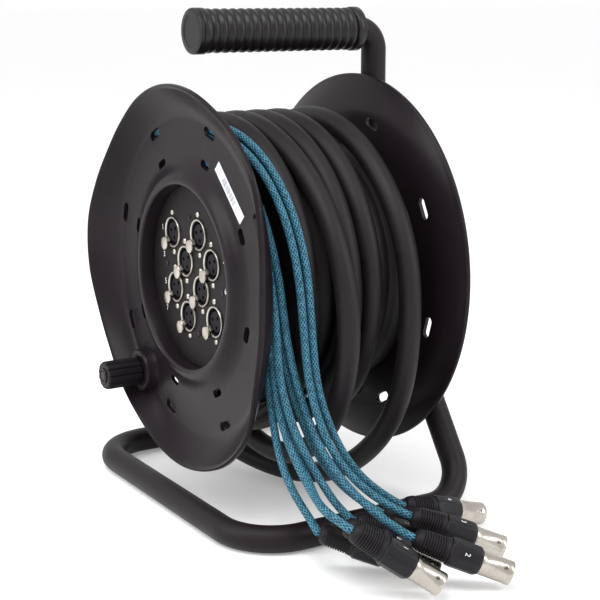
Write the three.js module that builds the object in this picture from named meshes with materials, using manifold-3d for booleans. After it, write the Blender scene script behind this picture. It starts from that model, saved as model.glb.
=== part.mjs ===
// A stage box snake: eight microphone sockets in the flange of a cable drum, wound with multicore cable,
// on a bent tube stand with a ribbed carrying grip. Millimetres, +Z up, drum axle along Y, sockets facing -Y.
import * as THREE from 'three';
import { mergeVertices } from 'three/addons/utils/BufferGeometryUtils.js';
import Module from 'manifold-3d';

const wasm = await Module();
wasm.setup();

// Clearances shared by all pieces
const seatGap = 0.3;
const runningGap = 0.5;
const sleeveGap = 0.6;
const cutOverrun = 4;
const weldTolerance = 0.001;

// Stand, one bent steel tube
const tubeDiameter = 20;
const tubeFlatDepth = 0.3;
const standWidth = 265.6;
const frontRunY = -90.8;
const uprightY = 101.5;
const apexHeight = 24;
const legBend = 34;
const cornerBend = 42;
const handleBend = 17;
const apexBend = 70;
const weldLegGap = 34;

// Drum, measured from the middle of its axle
const axleHeight = 180;
const drumTurnDegrees = -5;
const flangeRadius = 150;
const flangeWall = 3;
const nearWebY = -67.9;
const nearRimY = -85.3;
const farWebY = 76;
const farRimY = 86.5;
const rimRoundRadius = 2.2;
const flareStartRadius = 124;
const rimOutlineStart = 120;
const rimLeanPerX = 0.019;
// Radius of the near rim every 15 degrees round the drum, from straight down
const rimOutline = [
  146.5, 142.6, 138, 136.8, 134.5, 138.5, 147.4, 149, 142, 137, 138.3, 143.2,
  146.7, 147.8, 148.6, 151.2, 150.6, 140.9, 133.4, 133, 137, 147.6, 150, 148.6,
];

// Panel recess in the near flange
const recessRadius = 71;
const recessDepth = 4.2;
const collarCrestRadius = 77;
const collarCrestRise = 7.6;
const collarSlopeRadius = 82;
const collarFootRadius = 89;
const panelThickness = 2;

// Slots through the flanges
const slotCount = 8;
const slotRingRadius = 117.8;
const innerSlotRingRadius = 92.8;
const slotLength = 17;
const slotWidth = 7;
const innerSlotLength = 13;
const innerSlotWidth = 6;
const slotPhaseDegrees = 22.5;

// Drum core, hub and axle
const coreRadius = 80;
const coreWall = 3;
const hubRadius = 19;
const bushRadius = 13;
const axleRadius = 8;
const hubLength = 26;
const bushFlange = 2.5;
const clipRadius = 12.5;
const clipThickness = 1.6;
const clipSetback = 3;

// Bracket welded behind the far flange
const bracketThickness = 3;
const bracketTopWidth = 56;
const bracketBottomWidth = 96;
const bracketHeight = 66;
const bracketDrop = 34;

// Grip
const gripLength = 144;
const gripRadius = 14.6;
const gripRibHeight = 1.8;
const gripCollarRadius = 17.2;
const gripCollarLength = 7;
const gripRibCount = 18;
const gripHeight = 185;
const gripCapThickness = 3;

// Knob on its boss
const knobOrbit = 118.5;
const knobAngleDegrees = -135;
const bossRadius = 17.5;
const bossFootRadius = 19.5;
const bossFaceY = -77.6;
const bossRootDepth = 0.2;
const knobLength = 30;
const knobRadius = 11.6;
const knobFlutes = 12;
const fluteDepth = 0.7;
const spindleRadius = 4;
const knobCapRadius = 6.2;
const knobCapThickness = 1.5;
const spindleHeadRadius = 6;
const spindleHeadLength = 3;

// Sockets, in two columns of four with every second row set over
const socketColumns = 2;
const socketRows = 4;
const socketPitch = 42.9;
const rowPitch = 21.6;
const rowShift = 19.1;
const socketRingRadius = 12.1;
const socketRingWall = 1.1;
const socketRingRise = 1.6;
const socketInsertRise = 0.6;
const socketBodyRadius = 10.6;
const socketBodyDepth = 18;
const contactHoleRadius = 1.5;
const contactHoleDepth = 6;
const contactOrbit = 4.6;
const contactCount = 3;
const screwOrbit = 15.5;
const screwHeadRadius = 2.3;
const screwHeadRise = 1.1;
const screwBridgeWidth = 3;
const screwBridgeRise = 0.5;
const latchOrbit = 14.2;
const latchAngleDegrees = -131;
const latchThumbRadius = 5;
const latchNeckWidth = 4.4;
const latchThickness = 1.5;
const latchTravel = 0.6;
const latchStemLength = 3.2;
const latchStemDepth = 1.6;
const latchStemOrbit = 8.4;
const latchPocketDepth = 2;

// Multicore cable wound on the drum
const cableDiameter = 16.6;
const woundDepth = 26;
const nearGrooveDepth = 17.6;
const farGrooveDepth = 10.6;
const nearGrooveEndY = -33;
const farGrooveStartY = 35.2;
const windingLift = 2.2;
const windingStartY = -42.4;
const windingPitch = 18.4;
const windingStartDegrees = 275;
const windingTurnDegrees = 1320;
const windingStepDegrees = 15;
const windingSides = 6;
const dipDegrees = 45;
const dipDepth = 12;
const slackHeight = 33;
const slackCentreDegrees = 855;
const slackHalfSpanDegrees = 120;
const glandRadius = 8.9;
const glandLength = 12;

// Free cords
const leadDiameter = 5.8;
const bootLength = 52;
const bootStartRadius = 10.6;
const bootEndRadius = 11.8;
const bootWaistRadius = 12.4;

// Cord plugs
const plugBootLength = 24;
const plugBootStartRadius = 5.6;
const plugBootEndRadius = 8.4;
const plugBodyLength = 23;
const plugBodyRadius = 10.4;
const plugShellLength = 23;
const plugShellRadius = 8.4;
const plugShellWall = 1.1;
const plugFacets = 8;
const plugNoseRadius = 9.2;
const plugNoseLength = 2;
const plugSocketDepth = 14;

// Sizes that follow from the ones above
const woundCoreRadius = coreRadius + woundDepth;
const nearGrooveRadius = woundCoreRadius - nearGrooveDepth;
const farGrooveRadius = woundCoreRadius - farGrooveDepth;
const windingRadius = woundCoreRadius + cableDiameter / 2 + windingLift;

// The footprint of the rigid pieces is centred on Y = 0
const knobFrontY = bossFaceY - seatGap - knobLength - knobCapThickness;
const standBackY = uprightY + tubeDiameter / 2;
const drumShiftY = -(knobFrontY + standBackY) / 2;
const tubeHeight = tubeDiameter / 2 - tubeFlatDepth;

const degrees = Math.PI / 180;
const group = new THREE.Group();
const drum = new THREE.Group();
drum.position.set(0, drumShiftY, axleHeight);
drum.rotation.y = drumTurnDegrees * degrees;
const stand = new THREE.Group();
stand.position.set(0, drumShiftY, 0);
const cords = new THREE.Group();
cords.position.set(0, drumShiftY, axleHeight);
group.add(drum, stand, cords);

const finishes = {
  paint: new THREE.MeshStandardMaterial({ color: 0x1d1b1c, roughness: 0.62, metalness: 0.1 }),
  plastic: new THREE.MeshStandardMaterial({ color: 0x221f20, roughness: 0.42, metalness: 0 }),
  rubber: new THREE.MeshStandardMaterial({ color: 0x1c1b1d, roughness: 0.75, metalness: 0 }),
  panel: new THREE.MeshStandardMaterial({ color: 0x1a191a, roughness: 0.7, metalness: 0.2 }),
  nickel: new THREE.MeshStandardMaterial({ color: 0xcfc9bf, roughness: 0.3, metalness: 1 }),
  zinc: new THREE.MeshStandardMaterial({ color: 0xb9b9b6, roughness: 0.4, metalness: 1 }),
  jacket: new THREE.MeshStandardMaterial({ color: 0x232124, roughness: 0.6, metalness: 0 }),
  mesh: new THREE.MeshStandardMaterial({ color: 0x2e7f93, roughness: 0.6, metalness: 0 }),
  nylon: new THREE.MeshStandardMaterial({ color: 0xd8d4c8, roughness: 0.5, metalness: 0 }),
};

function volumeOf(geometry) {
  const p = geometry.attributes.position;
  const index = geometry.index;
  const a = new THREE.Vector3();
  const b = new THREE.Vector3();
  const c = new THREE.Vector3();
  let sum = 0;
  for (let i = 0; i < index.count; i += 3) {
    a.fromBufferAttribute(p, index.getX(i));
    b.fromBufferAttribute(p, index.getX(i + 1));
    c.fromBufferAttribute(p, index.getX(i + 2));
    sum += a.dot(b.cross(c)) / 6;
  }
  return sum;
}

// One closed skin with shared corners, its faces pointing out
function closed(source) {
  const bare = source.clone();
  bare.deleteAttribute('normal');
  bare.deleteAttribute('uv');
  const merged = mergeVertices(bare, weldTolerance);
  const kept = [];
  const old = merged.index;
  for (let i = 0; i < old.count; i += 3) {
    const t = [old.getX(i), old.getX(i + 1), old.getX(i + 2)];
    if (t[0] !== t[1] && t[1] !== t[2] && t[2] !== t[0]) kept.push(...t);
  }
  merged.setIndex(kept);
  if (volumeOf(merged) < 0) {
    for (let i = 0; i < kept.length; i += 3) [kept[i], kept[i + 1]] = [kept[i + 1], kept[i]];
    merged.setIndex(kept);
  }
  merged.computeVertexNormals();
  return merged;
}

function solidOf(geometry) {
  const g = closed(geometry);
  return new wasm.Manifold(new wasm.Mesh({
    numProp: 3,
    vertProperties: new Float32Array(g.attributes.position.array),
    triVerts: new Uint32Array(g.index.array),
  }));
}

function geometryOf(solid) {
  const mesh = solid.getMesh();
  const g = new THREE.BufferGeometry();
  g.setAttribute('position', new THREE.BufferAttribute(new Float32Array(mesh.vertProperties), 3));
  g.setIndex(new THREE.BufferAttribute(new Uint32Array(mesh.triVerts), 1));
  g.computeVertexNormals();
  return g;
}

function cut(geometry, tools) {
  let solid = solidOf(geometry);
  for (const tool of tools) solid = solid.subtract(solidOf(tool));
  return geometryOf(solid);
}

function join(geometry, extras) {
  let solid = solidOf(geometry);
  for (const extra of extras) solid = solid.add(solidOf(extra));
  return geometryOf(solid);
}

function addPiece(parent, name, geometry, material) {
  const mesh = new THREE.Mesh(closed(geometry), material);
  mesh.name = name;
  parent.add(mesh);
  return mesh;
}

// A turned piece whose axis is Y; the profile lists radius and place along Y
function turned(profile, segments) {
  return new THREE.LatheGeometry(profile.map(([r, y]) => new THREE.Vector2(r, y)), segments);
}

// A point round the drum axis; degrees run from the top towards +X
function aroundAxle(angleDegrees, radius, y) {
  const a = angleDegrees * degrees;
  return new THREE.Vector3(radius * Math.sin(a), y, radius * Math.cos(a));
}

// A curve through stations that a sweep visits one by one, so that bends get more steps than straights
class StationCurve extends THREE.Curve {
  constructor(points) {
    super();
    this.points = points;
  }
  getUtoTmapping(u) {
    return u;
  }
  getPoint(t, target = new THREE.Vector3()) {
    const last = this.points.length - 1;
    const at = Math.min(Math.max(t, 0), 1) * last;
    const i = Math.min(Math.floor(at), last - 1);
    return target.lerpVectors(this.points[i], this.points[i + 1], at - i);
  }
}

function roundSection(radius, sides) {
  const corner = radius / Math.sqrt(Math.cos(Math.PI / sides));
  const shape = new THREE.Shape();
  for (let i = 0; i < sides; i++) {
    const a = (i + 1 / 2) * 2 * Math.PI / sides;
    if (i === 0) shape.moveTo(corner * Math.cos(a), corner * Math.sin(a));
    else shape.lineTo(corner * Math.cos(a), corner * Math.sin(a));
  }
  shape.closePath();
  return shape;
}

function sweep(points, diameter, sides) {
  return new THREE.ExtrudeGeometry(roundSection(diameter / 2, sides), {
    steps: points.length - 1,
    extrudePath: new StationCurve(points),
    bevelEnabled: false,
  });
}

// Straight runs joined by round bends; each corner has its own radius and number of steps
function bentPath(corners) {
  const stations = [corners[0].at.clone()];
  for (let i = 1; i < corners.length - 1; i++) {
    const { at, bend, steps } = corners[i];
    const back = corners[i - 1].at.clone().sub(at).normalize();
    const on = corners[i + 1].at.clone().sub(at).normalize();
    const half = back.angleTo(on) / 2;
    const reach = bend / Math.tan(half);
    const middle = back.clone().add(on).normalize();
    const centre = at.clone().addScaledVector(middle, bend / Math.sin(half));
    const first = at.clone().addScaledVector(back, reach).sub(centre);
    const last = at.clone().addScaledVector(on, reach).sub(centre);
    const sweepAngle = first.angleTo(last);
    for (let s = 0; s <= steps; s++) {
      const share = s / steps;
      const a = Math.sin((1 - share) * sweepAngle) / Math.sin(sweepAngle);
      const b = Math.sin(share * sweepAngle) / Math.sin(sweepAngle);
      stations.push(centre.clone().addScaledVector(first, a).addScaledVector(last, b));
    }
  }
  stations.push(corners[corners.length - 1].at.clone());
  return stations;
}

// Stand tube: grip bar, down behind the far flange, one leg, round the floor and up the other leg
const halfStand = standWidth / 2;
const axisPoint = (x, y, z) => new THREE.Vector3(x, y, axleHeight + z);
const floorPoint = (x, y) => new THREE.Vector3(x, y, tubeHeight);
const apex = axisPoint(0, uprightY, apexHeight);
const leftFoot = floorPoint(-halfStand, uprightY);
const leftLegTop = apex.clone().add(leftFoot.clone().sub(apex).setLength(weldLegGap));
const gripStartY = uprightY - handleBend - gripLength - gripCapThickness - 2 * seatGap;
const tubePath = bentPath([
  { at: axisPoint(0, gripStartY + gripCapThickness, gripHeight) },
  { at: axisPoint(0, uprightY, gripHeight), bend: handleBend, steps: 6 },
  { at: apex, bend: apexBend, steps: 3 },
  { at: floorPoint(halfStand, uprightY), bend: legBend, steps: 6 },
  { at: floorPoint(halfStand, frontRunY), bend: cornerBend, steps: 6 },
  { at: floorPoint(-halfStand, frontRunY), bend: cornerBend, steps: 6 },
  { at: leftFoot, bend: legBend, steps: 6 },
  { at: leftLegTop },
]);
const floorCut = new THREE.BoxGeometry(standWidth * 2, standWidth * 2, cutOverrun * 2);
floorCut.translate(0, 0, -cutOverrun);
const tubeSides = 12;
addPiece(stand, 'frame_tube', cut(sweep(tubePath, tubeDiameter, tubeSides), [floorCut]), finishes.paint);

// Grip sleeve with ribs, and the cap on its free end
function gripProfile() {
  const bore = tubeDiameter / 2 + sleeveGap;
  const ribPitch = (gripLength - 2 * gripCollarLength) / gripRibCount;
  const profile = [[bore, 0], [gripCollarRadius, 0], [gripCollarRadius, gripCollarLength]];
  for (let i = 0; i < gripRibCount; i++) {
    const start = gripCollarLength + i * ribPitch;
    profile.push([gripRadius, start + ribPitch / 6]);
    profile.push([gripRadius + gripRibHeight, start + ribPitch / 2]);
  }
  const end = gripLength - gripCollarLength;
  profile.push([gripRadius, end], [gripCollarRadius, end], [gripCollarRadius, gripLength]);
  profile.push([bore, gripLength], [bore, 0]);
  return profile;
}
const gripSegments = 13;
const grip = addPiece(stand, 'handle_grip', turned(gripProfile(), gripSegments), finishes.rubber);
grip.position.set(0, gripStartY + gripCapThickness + seatGap, axleHeight + gripHeight);
const capRound = gripCapThickness / 3;
const gripCap = addPiece(stand, 'grip_end_cap', turned([
  [0, 0],
  [gripCollarRadius - capRound, 0],
  [gripCollarRadius, capRound],
  [gripCollarRadius, gripCapThickness - seatGap],
  [0, gripCapThickness - seatGap],
], gripSegments), finishes.rubber);
gripCap.position.set(0, gripStartY, axleHeight + gripHeight);

// Bracket plate welded across the two legs, with the stub axle through it
const bracketFaceY = uprightY - tubeDiameter / 2 - seatGap;
function bracketShape() {
  const shape = new THREE.Shape();
  shape.moveTo(-bracketBottomWidth / 2, -bracketDrop);
  shape.lineTo(bracketBottomWidth / 2, -bracketDrop);
  shape.lineTo(bracketTopWidth / 2, bracketHeight - bracketDrop);
  shape.lineTo(-bracketTopWidth / 2, bracketHeight - bracketDrop);
  shape.closePath();
  const hole = new THREE.Path();
  hole.absarc(0, 0, axleRadius + seatGap, 0, 2 * Math.PI, true);
  shape.holes.push(hole);
  return shape;
}
const bracketGeometry = new THREE.ExtrudeGeometry(bracketShape(), {
  depth: bracketThickness, bevelEnabled: false, curveSegments: 8,
});
bracketGeometry.rotateX(Math.PI / 2);
const bracket = addPiece(stand, 'axle_bracket', bracketGeometry, finishes.paint);
bracket.position.set(0, bracketFaceY, axleHeight);

const socketBackY = nearWebY + recessDepth + socketBodyDepth;
const clipY = socketBackY + runningGap + clipSetback;
const nearHubY = clipY + clipThickness + runningGap + bushFlange;
const axleSegments = 20;
const axleShoulderRadius = hubRadius - bushFlange;
const farFaceY = farWebY + flangeWall;
const shoulderStartY = farFaceY + bushFlange + runningGap;
const axle = addPiece(stand, 'axle', turned([
  [0, clipY - clipSetback],
  [axleRadius, clipY - clipSetback],
  [axleRadius, shoulderStartY],
  [axleShoulderRadius, shoulderStartY],
  [axleShoulderRadius, bracketFaceY - bracketThickness - seatGap],
  [axleRadius, bracketFaceY - bracketThickness - seatGap],
  [axleRadius, bracketFaceY],
  [0, bracketFaceY],
], axleSegments), finishes.zinc);
axle.position.set(0, 0, axleHeight);
const clip = addPiece(stand, 'axle_clip', turned([
  [axleRadius + seatGap, 0],
  [clipRadius, 0],
  [clipRadius, clipThickness],
  [axleRadius + seatGap, clipThickness],
  [axleRadius + seatGap, 0],
], axleSegments), finishes.zinc);
clip.position.set(0, clipY, axleHeight);

// Flanges: a web, a flared edge and a rolled rim
const flangeSegments = 48;
function slotTool(length, width, angle, radius, fromY, toY) {
  const shape = new THREE.Shape();
  const straight = (length - width) / 2;
  shape.absarc(straight, 0, width / 2, -Math.PI / 2, Math.PI / 2, false);
  shape.absarc(-straight, 0, width / 2, Math.PI / 2, Math.PI * 3 / 2, false);
  shape.closePath();
  const tool = new THREE.ExtrudeGeometry(shape, { depth: toY - fromY, bevelEnabled: false, curveSegments: 2 });
  tool.rotateX(-Math.PI / 2);
  tool.translate(0, fromY, -radius);
  tool.rotateY((180 + angle) * degrees);
  return tool;
}
function slotRing(length, width, radius, fromY, toY) {
  const tools = [];
  for (let i = 0; i < slotCount; i++) {
    tools.push(slotTool(length, width, slotPhaseDegrees + i * 360 / slotCount, radius, fromY, toY));
  }
  return tools;
}

// The near rim has three lobes and three flats, and leans a little
function outlineRadius(angle) {
  const at = (angle / (2 * Math.PI) + 1 / 2) * rimOutline.length;
  const i = Math.floor(at);
  const pick = (n) => rimOutline[(i + n + rimOutline.length) % rimOutline.length];
  const u = at - i;
  const bend = 2 * pick(-1) - 5 * pick(0) + 4 * pick(1) - pick(2);
  const twist = 3 * (pick(0) - pick(1)) + pick(2) - pick(-1);
  return pick(0) + u * (pick(1) - pick(-1) + u * (bend + u * twist)) / 2;
}
function shapeRim(geometry) {
  const p = geometry.attributes.position;
  for (let i = 0; i < p.count; i++) {
    const x = p.getX(i);
    const z = p.getZ(i);
    const r = Math.hypot(x, z);
    if (r <= rimOutlineStart) continue;
    const share = (r - rimOutlineStart) / (flangeRadius - rimOutlineStart);
    const wanted = rimOutlineStart + share * (outlineRadius(Math.atan2(x, z)) - rimOutlineStart);
    p.setXYZ(i, x * wanted / r, p.getY(i) + share * rimLeanPerX * x, z * wanted / r);
  }
  return geometry;
}
const flareMiddle = (flareStartRadius + flangeRadius) / 2;
const rimRise = nearWebY - nearRimY;
const farRimRise = farRimY - farFaceY;
const flareMiddleShare = 0.42;
const collarSlopeShare = 0.5;
const panelFaceY = nearWebY + recessDepth;
const panelBackY = panelFaceY + panelThickness;
const crestY = nearWebY - collarCrestRise;
const rim = rimRoundRadius;
const nearFlange = shapeRim(turned([
  [recessRadius, panelBackY],
  [recessRadius, panelFaceY],
  [collarCrestRadius - rim, crestY + rim / 2],
  [collarCrestRadius, crestY],
  [collarCrestRadius + rim, crestY + rim / 2],
  [collarSlopeRadius, nearWebY - collarCrestRise * collarSlopeShare],
  [collarFootRadius, nearWebY],
  [flareStartRadius, nearWebY],
  [flareMiddle, nearWebY - rimRise * flareMiddleShare],
  [flangeRadius - rim, nearRimY],
  [flangeRadius, nearRimY + rim / 2],
  [flangeRadius, nearRimY + rim * 2],
  [flangeRadius - flangeWall, nearRimY + flangeWall + rim],
  [flareMiddle, nearWebY + flangeWall - rimRise * flareMiddleShare],
  [flareStartRadius, nearWebY + flangeWall],
  [collarFootRadius, nearWebY + flangeWall],
  [recessRadius + flangeWall, nearWebY + flangeWall],
  [recessRadius + flangeWall, panelBackY],
  [recessRadius, panelBackY],
], flangeSegments));

// Knob boss on the near flange, with the spindle hole through it and a seat for the spindle's head
const knobAt = aroundAxle(knobAngleDegrees, knobOrbit, 0);
const bossSegments = 18;
const boss = turned([
  [0, nearWebY + bossRootDepth],
  [bossFootRadius, nearWebY + bossRootDepth],
  [bossFootRadius, nearWebY - rim],
  [bossRadius, bossFaceY + rim / 2],
  [bossRadius - rim / 2, bossFaceY],
  [0, bossFaceY],
], bossSegments);
boss.translate(knobAt.x, 0, knobAt.z);
const spindleHeadY = nearWebY + flangeWall - spindleHeadLength - seatGap;
const spindleHole = turned([
  [0, bossFaceY - cutOverrun],
  [spindleRadius + seatGap, bossFaceY - cutOverrun],
  [spindleRadius + seatGap, spindleHeadY - seatGap],
  [spindleHeadRadius + seatGap, spindleHeadY - seatGap],
  [spindleHeadRadius + seatGap, nearWebY + flangeWall + cutOverrun],
  [0, nearWebY + flangeWall + cutOverrun],
], bossSegments);
spindleHole.translate(knobAt.x, 0, knobAt.z);
const nearCutStart = nearRimY - cutOverrun;
const nearCutEnd = nearWebY + flangeWall + cutOverrun;
addPiece(drum, 'panel_flange', cut(join(nearFlange, [boss]), [
  spindleHole,
  ...slotRing(slotLength, slotWidth, slotRingRadius, nearCutStart, nearCutEnd),
  ...slotRing(innerSlotLength, innerSlotWidth, innerSlotRingRadius, nearCutStart, nearCutEnd),
]), finishes.plastic);

const farHubBore = bushRadius + seatGap;
const farFlange = turned([
  [farHubBore, farWebY - hubLength],
  [hubRadius, farWebY - hubLength],
  [hubRadius, farWebY],
  [flareStartRadius, farWebY],
  [flareMiddle, farWebY + farRimRise * flareMiddleShare],
  [flangeRadius - rim, farRimY - flangeWall],
  [flangeRadius, farRimY - flangeWall + rim / 2],
  [flangeRadius, farRimY],
  [flangeRadius - rim, farRimY + rim / 2],
  [flareMiddle, farFaceY + farRimRise * flareMiddleShare],
  [flareStartRadius, farFaceY],
  [farHubBore, farFaceY],
  [farHubBore, farWebY - hubLength],
], flangeSegments);
addPiece(drum, 'far_flange', cut(farFlange, [
  ...slotRing(slotLength, slotWidth, slotRingRadius, farWebY - cutOverrun, farFaceY + cutOverrun),
]), finishes.plastic);

// Drum core: a cup with a cross wall that carries the near bush, open towards the panel
const coreStartY = nearWebY + flangeWall + seatGap;
const coreEndY = farWebY - seatGap;
const coreSegments = 32;
const panelSegments = 32;
const crossWallY = nearHubY + hubLength;
addPiece(drum, 'drum_core', turned([
  [coreRadius, coreStartY],
  [coreRadius, coreEndY],
  [coreRadius - coreWall, coreEndY],
  [coreRadius - coreWall, crossWallY + coreWall],
  [farHubBore, crossWallY + coreWall],
  [farHubBore, nearHubY],
  [hubRadius, nearHubY],
  [hubRadius, crossWallY],
  [recessRadius + flangeWall + sleeveGap, crossWallY],
  [recessRadius + flangeWall + sleeveGap, coreStartY],
  [coreRadius, coreStartY],
], coreSegments), finishes.plastic);

// Bushes that run on the axle
const bushBore = axleRadius + seatGap;
function bushProfile(length) {
  return [
    [bushBore, -bushFlange],
    [hubRadius - bushFlange, -bushFlange],
    [hubRadius - bushFlange, -seatGap],
    [bushRadius, -seatGap],
    [bushRadius, length],
    [bushBore, length],
    [bushBore, -bushFlange],
  ];
}
const bushSegments = 20;
const nearBush = addPiece(drum, 'near_bush', turned(bushProfile(hubLength), bushSegments), finishes.nylon);
nearBush.position.set(0, nearHubY, 0);
const farBush = addPiece(drum, 'far_bush', turned(bushProfile(hubLength), bushSegments), finishes.nylon);
farBush.rotation.x = Math.PI;
farBush.position.set(0, farFaceY, 0);

// Inner layers of cable as one plain core under the outer layer
const woundStartY = coreStartY + coreWall + seatGap;
const woundBore = coreRadius + seatGap;
addPiece(drum, 'inner_layers', turned([
  [woundBore, woundStartY],
  [nearGrooveRadius, woundStartY],
  [nearGrooveRadius, nearGrooveEndY],
  [woundCoreRadius, nearGrooveEndY],
  [woundCoreRadius, farGrooveStartY],
  [farGrooveRadius, farGrooveStartY],
  [farGrooveRadius, coreEndY - seatGap],
  [woundBore, coreEndY - seatGap],
  [woundBore, woundStartY],
], panelSegments), finishes.jacket);

// Outer layer, one unbroken tube: it comes up out of the near groove and has one slack turn
function windingPoint(turnedDegrees) {
  const angle = windingStartDegrees + turnedDegrees;
  const y = windingStartY + windingPitch * turnedDegrees / 360;
  const off = Math.abs(angle - slackCentreDegrees) / slackHalfSpanDegrees;
  const slack = off < 1 ? slackHeight * Math.cos(off * Math.PI / 2) ** 2 : 0;
  const dip = dipDepth * Math.max(0, 1 - turnedDegrees / dipDegrees) ** 2;
  return aroundAxle(angle, windingRadius + slack - dip, y);
}
function straightEnd(end, next, length) {
  return end.clone().add(end.clone().sub(next).setLength(length));
}
const windingPoints = [];
for (let a = 0; a < windingTurnDegrees; a += windingStepDegrees) windingPoints.push(windingPoint(a));
windingPoints.push(windingPoint(windingTurnDegrees));
windingPoints.unshift(straightEnd(windingPoints[0], windingPoints[1], cableDiameter));
addPiece(cords, 'multicore_winding', sweep(windingPoints, cableDiameter, windingSides), finishes.jacket);

// Least gap of the winding to itself, measured on its centreline points more than half a turn apart
function leastGap(points, diameter, apart) {
  let least = Infinity;
  for (let i = 0; i < points.length; i++) {
    for (let j = i + apart; j < points.length; j++) {
      least = Math.min(least, points[i].distanceTo(points[j]) - diameter);
    }
  }
  return least;
}
const halfTurnSteps = 180 / windingStepDegrees;
console.log('winding least gap to itself, mm:', leastGap(windingPoints, cableDiameter, halfTurnSteps).toFixed(2));

// Gland block on the core where the cable comes out of the drum
const glandFace = windingPoints[0];
const glandDirection = windingPoints[0].clone().sub(windingPoints[1]).normalize();
const glandSegments = 12;
const gland = addPiece(cords, 'cable_gland', turned([
  [0, 0],
  [glandRadius - seatGap, 0],
  [glandRadius, seatGap * 2],
  [glandRadius, glandLength],
  [0, glandLength],
], glandSegments), finishes.rubber);
gland.quaternion.setFromUnitVectors(new THREE.Vector3(0, 1, 0), glandDirection);
gland.position.copy(glandFace).addScaledVector(glandDirection, seatGap);

// Knob, spindle and cap
const spindleEndY = bossFaceY - knobLength + knobCapThickness * 2;
const spindle = addPiece(drum, 'knob_spindle', turned([
  [0, spindleEndY],
  [spindleRadius, spindleEndY],
  [spindleRadius, spindleHeadY],
  [spindleHeadRadius, spindleHeadY],
  [spindleHeadRadius, spindleHeadY + spindleHeadLength],
  [0, spindleHeadY + spindleHeadLength],
], bossSegments), finishes.zinc);
spindle.position.set(knobAt.x, 0, knobAt.z);

function knobShape() {
  const shape = new THREE.Shape();
  const count = knobFlutes * 2;
  for (let i = 0; i < count; i++) {
    const a = i * Math.PI / knobFlutes;
    const r = knobRadius - (i % 2) * fluteDepth;
    if (i === 0) shape.moveTo(r * Math.cos(a), r * Math.sin(a));
    else shape.lineTo(r * Math.cos(a), r * Math.sin(a));
  }
  shape.closePath();
  return shape;
}
const knobBody = new THREE.ExtrudeGeometry(knobShape(), { depth: knobLength, bevelEnabled: false });
knobBody.rotateX(Math.PI / 2);
const boreEnd = -(knobLength - knobCapThickness);
const knobBore = turned([
  [0, cutOverrun],
  [spindleRadius + runningGap, cutOverrun],
  [spindleRadius + runningGap, boreEnd],
  [0, boreEnd],
], bossSegments);
const knob = addPiece(drum, 'winding_knob', cut(knobBody, [knobBore]), finishes.rubber);
knob.position.set(knobAt.x, bossFaceY - seatGap, knobAt.z);
const knobCap = addPiece(drum, 'knob_cap', turned([
  [0, 0],
  [knobCapRadius - seatGap, 0],
  [knobCapRadius, seatGap],
  [knobCapRadius, knobCapThickness - seatGap],
  [0, knobCapThickness - seatGap],
], bossSegments), finishes.plastic);
knobCap.position.set(knobAt.x, bossFaceY - seatGap - knobLength - knobCapThickness, knobAt.z);

// Connector panel with a hole for each socket body
const socketPlaces = [];
for (let row = 0; row < socketRows; row++) {
  for (let column = 0; column < socketColumns; column++) {
    const middleColumn = column - (socketColumns - 1) / 2;
    const over = (row % 2 - 1 / 2) * rowShift;
    socketPlaces.push({
      x: middleColumn * socketPitch + over,
      z: ((socketRows - 1) / 2 - row) * rowPitch,
    });
  }
}
const panelPlate = turned([
  [0, panelFaceY],
  [recessRadius - seatGap, panelFaceY],
  [recessRadius - seatGap, panelBackY],
  [0, panelBackY],
], panelSegments);
const socketSegments = 16;
const panelHoles = socketPlaces.map(({ x, z }) => {
  const tool = turned([
    [0, panelFaceY - cutOverrun],
    [socketBodyRadius + seatGap, panelFaceY - cutOverrun],
    [socketBodyRadius + seatGap, panelBackY + cutOverrun],
    [0, panelBackY + cutOverrun],
  ], socketSegments);
  tool.translate(x, 0, z);
  return tool;
});
addPiece(drum, 'connector_panel', cut(panelPlate, panelHoles), finishes.panel);

// A socket: bright ring, insert with three contact holes, two screws on a thin flange, and the body behind
function socketGeometry() {
  const lift = -seatGap;
  const body = turned([
    [0, -socketInsertRise],
    [socketRingRadius - socketRingWall * 2, -socketInsertRise],
    [socketRingRadius - socketRingWall, -socketRingRise],
    [socketRingRadius, -socketRingRise + socketRingWall / 2],
    [socketRingRadius, lift],
    [socketBodyRadius, lift],
    [socketBodyRadius, socketBodyDepth],
    [0, socketBodyDepth],
  ], socketSegments);
  const extras = [];
  const bridge = new THREE.BoxGeometry(screwBridgeWidth, screwBridgeRise, 2 * screwOrbit);
  bridge.translate(0, lift - screwBridgeRise / 2, 0);
  extras.push(bridge);
  const screwSides = 6;
  for (const side of [-1, 1]) {
    const head = turned([
      [0, lift - screwHeadRise],
      [screwHeadRadius * 2 / 3, lift - screwHeadRise],
      [screwHeadRadius, lift],
      [0, lift],
    ], screwSides);
    head.translate(0, 0, side * screwOrbit);
    extras.push(head);
  }
  const holes = [];
  const holeSides = 5;
  for (let i = 0; i < contactCount; i++) {
    const tool = turned([
      [0, -socketInsertRise - cutOverrun],
      [contactHoleRadius, -socketInsertRise - cutOverrun],
      [contactHoleRadius, contactHoleDepth],
      [0, contactHoleDepth],
    ], holeSides);
    const at = aroundAxle(i * 360 / contactCount, contactOrbit, 0);
    tool.translate(at.x, 0, at.z);
    holes.push(tool);
  }
  const pocketInner = latchStemOrbit - latchStemDepth / 2 - seatGap;
  const pocketOuter = socketRingRadius + socketRingWall;
  const pocketBack = latchPocketDepth + socketRingRise + seatGap;
  const pocket = new THREE.BoxGeometry(latchNeckWidth + 2 * seatGap, pocketBack, pocketOuter - pocketInner);
  pocket.translate(0, latchPocketDepth - pocketBack / 2, (pocketOuter + pocketInner) / 2);
  pocket.rotateY(latchAngleDegrees * degrees);
  holes.push(pocket);
  return cut(join(body, extras), holes);
}
const socketForm = socketGeometry();

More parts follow.
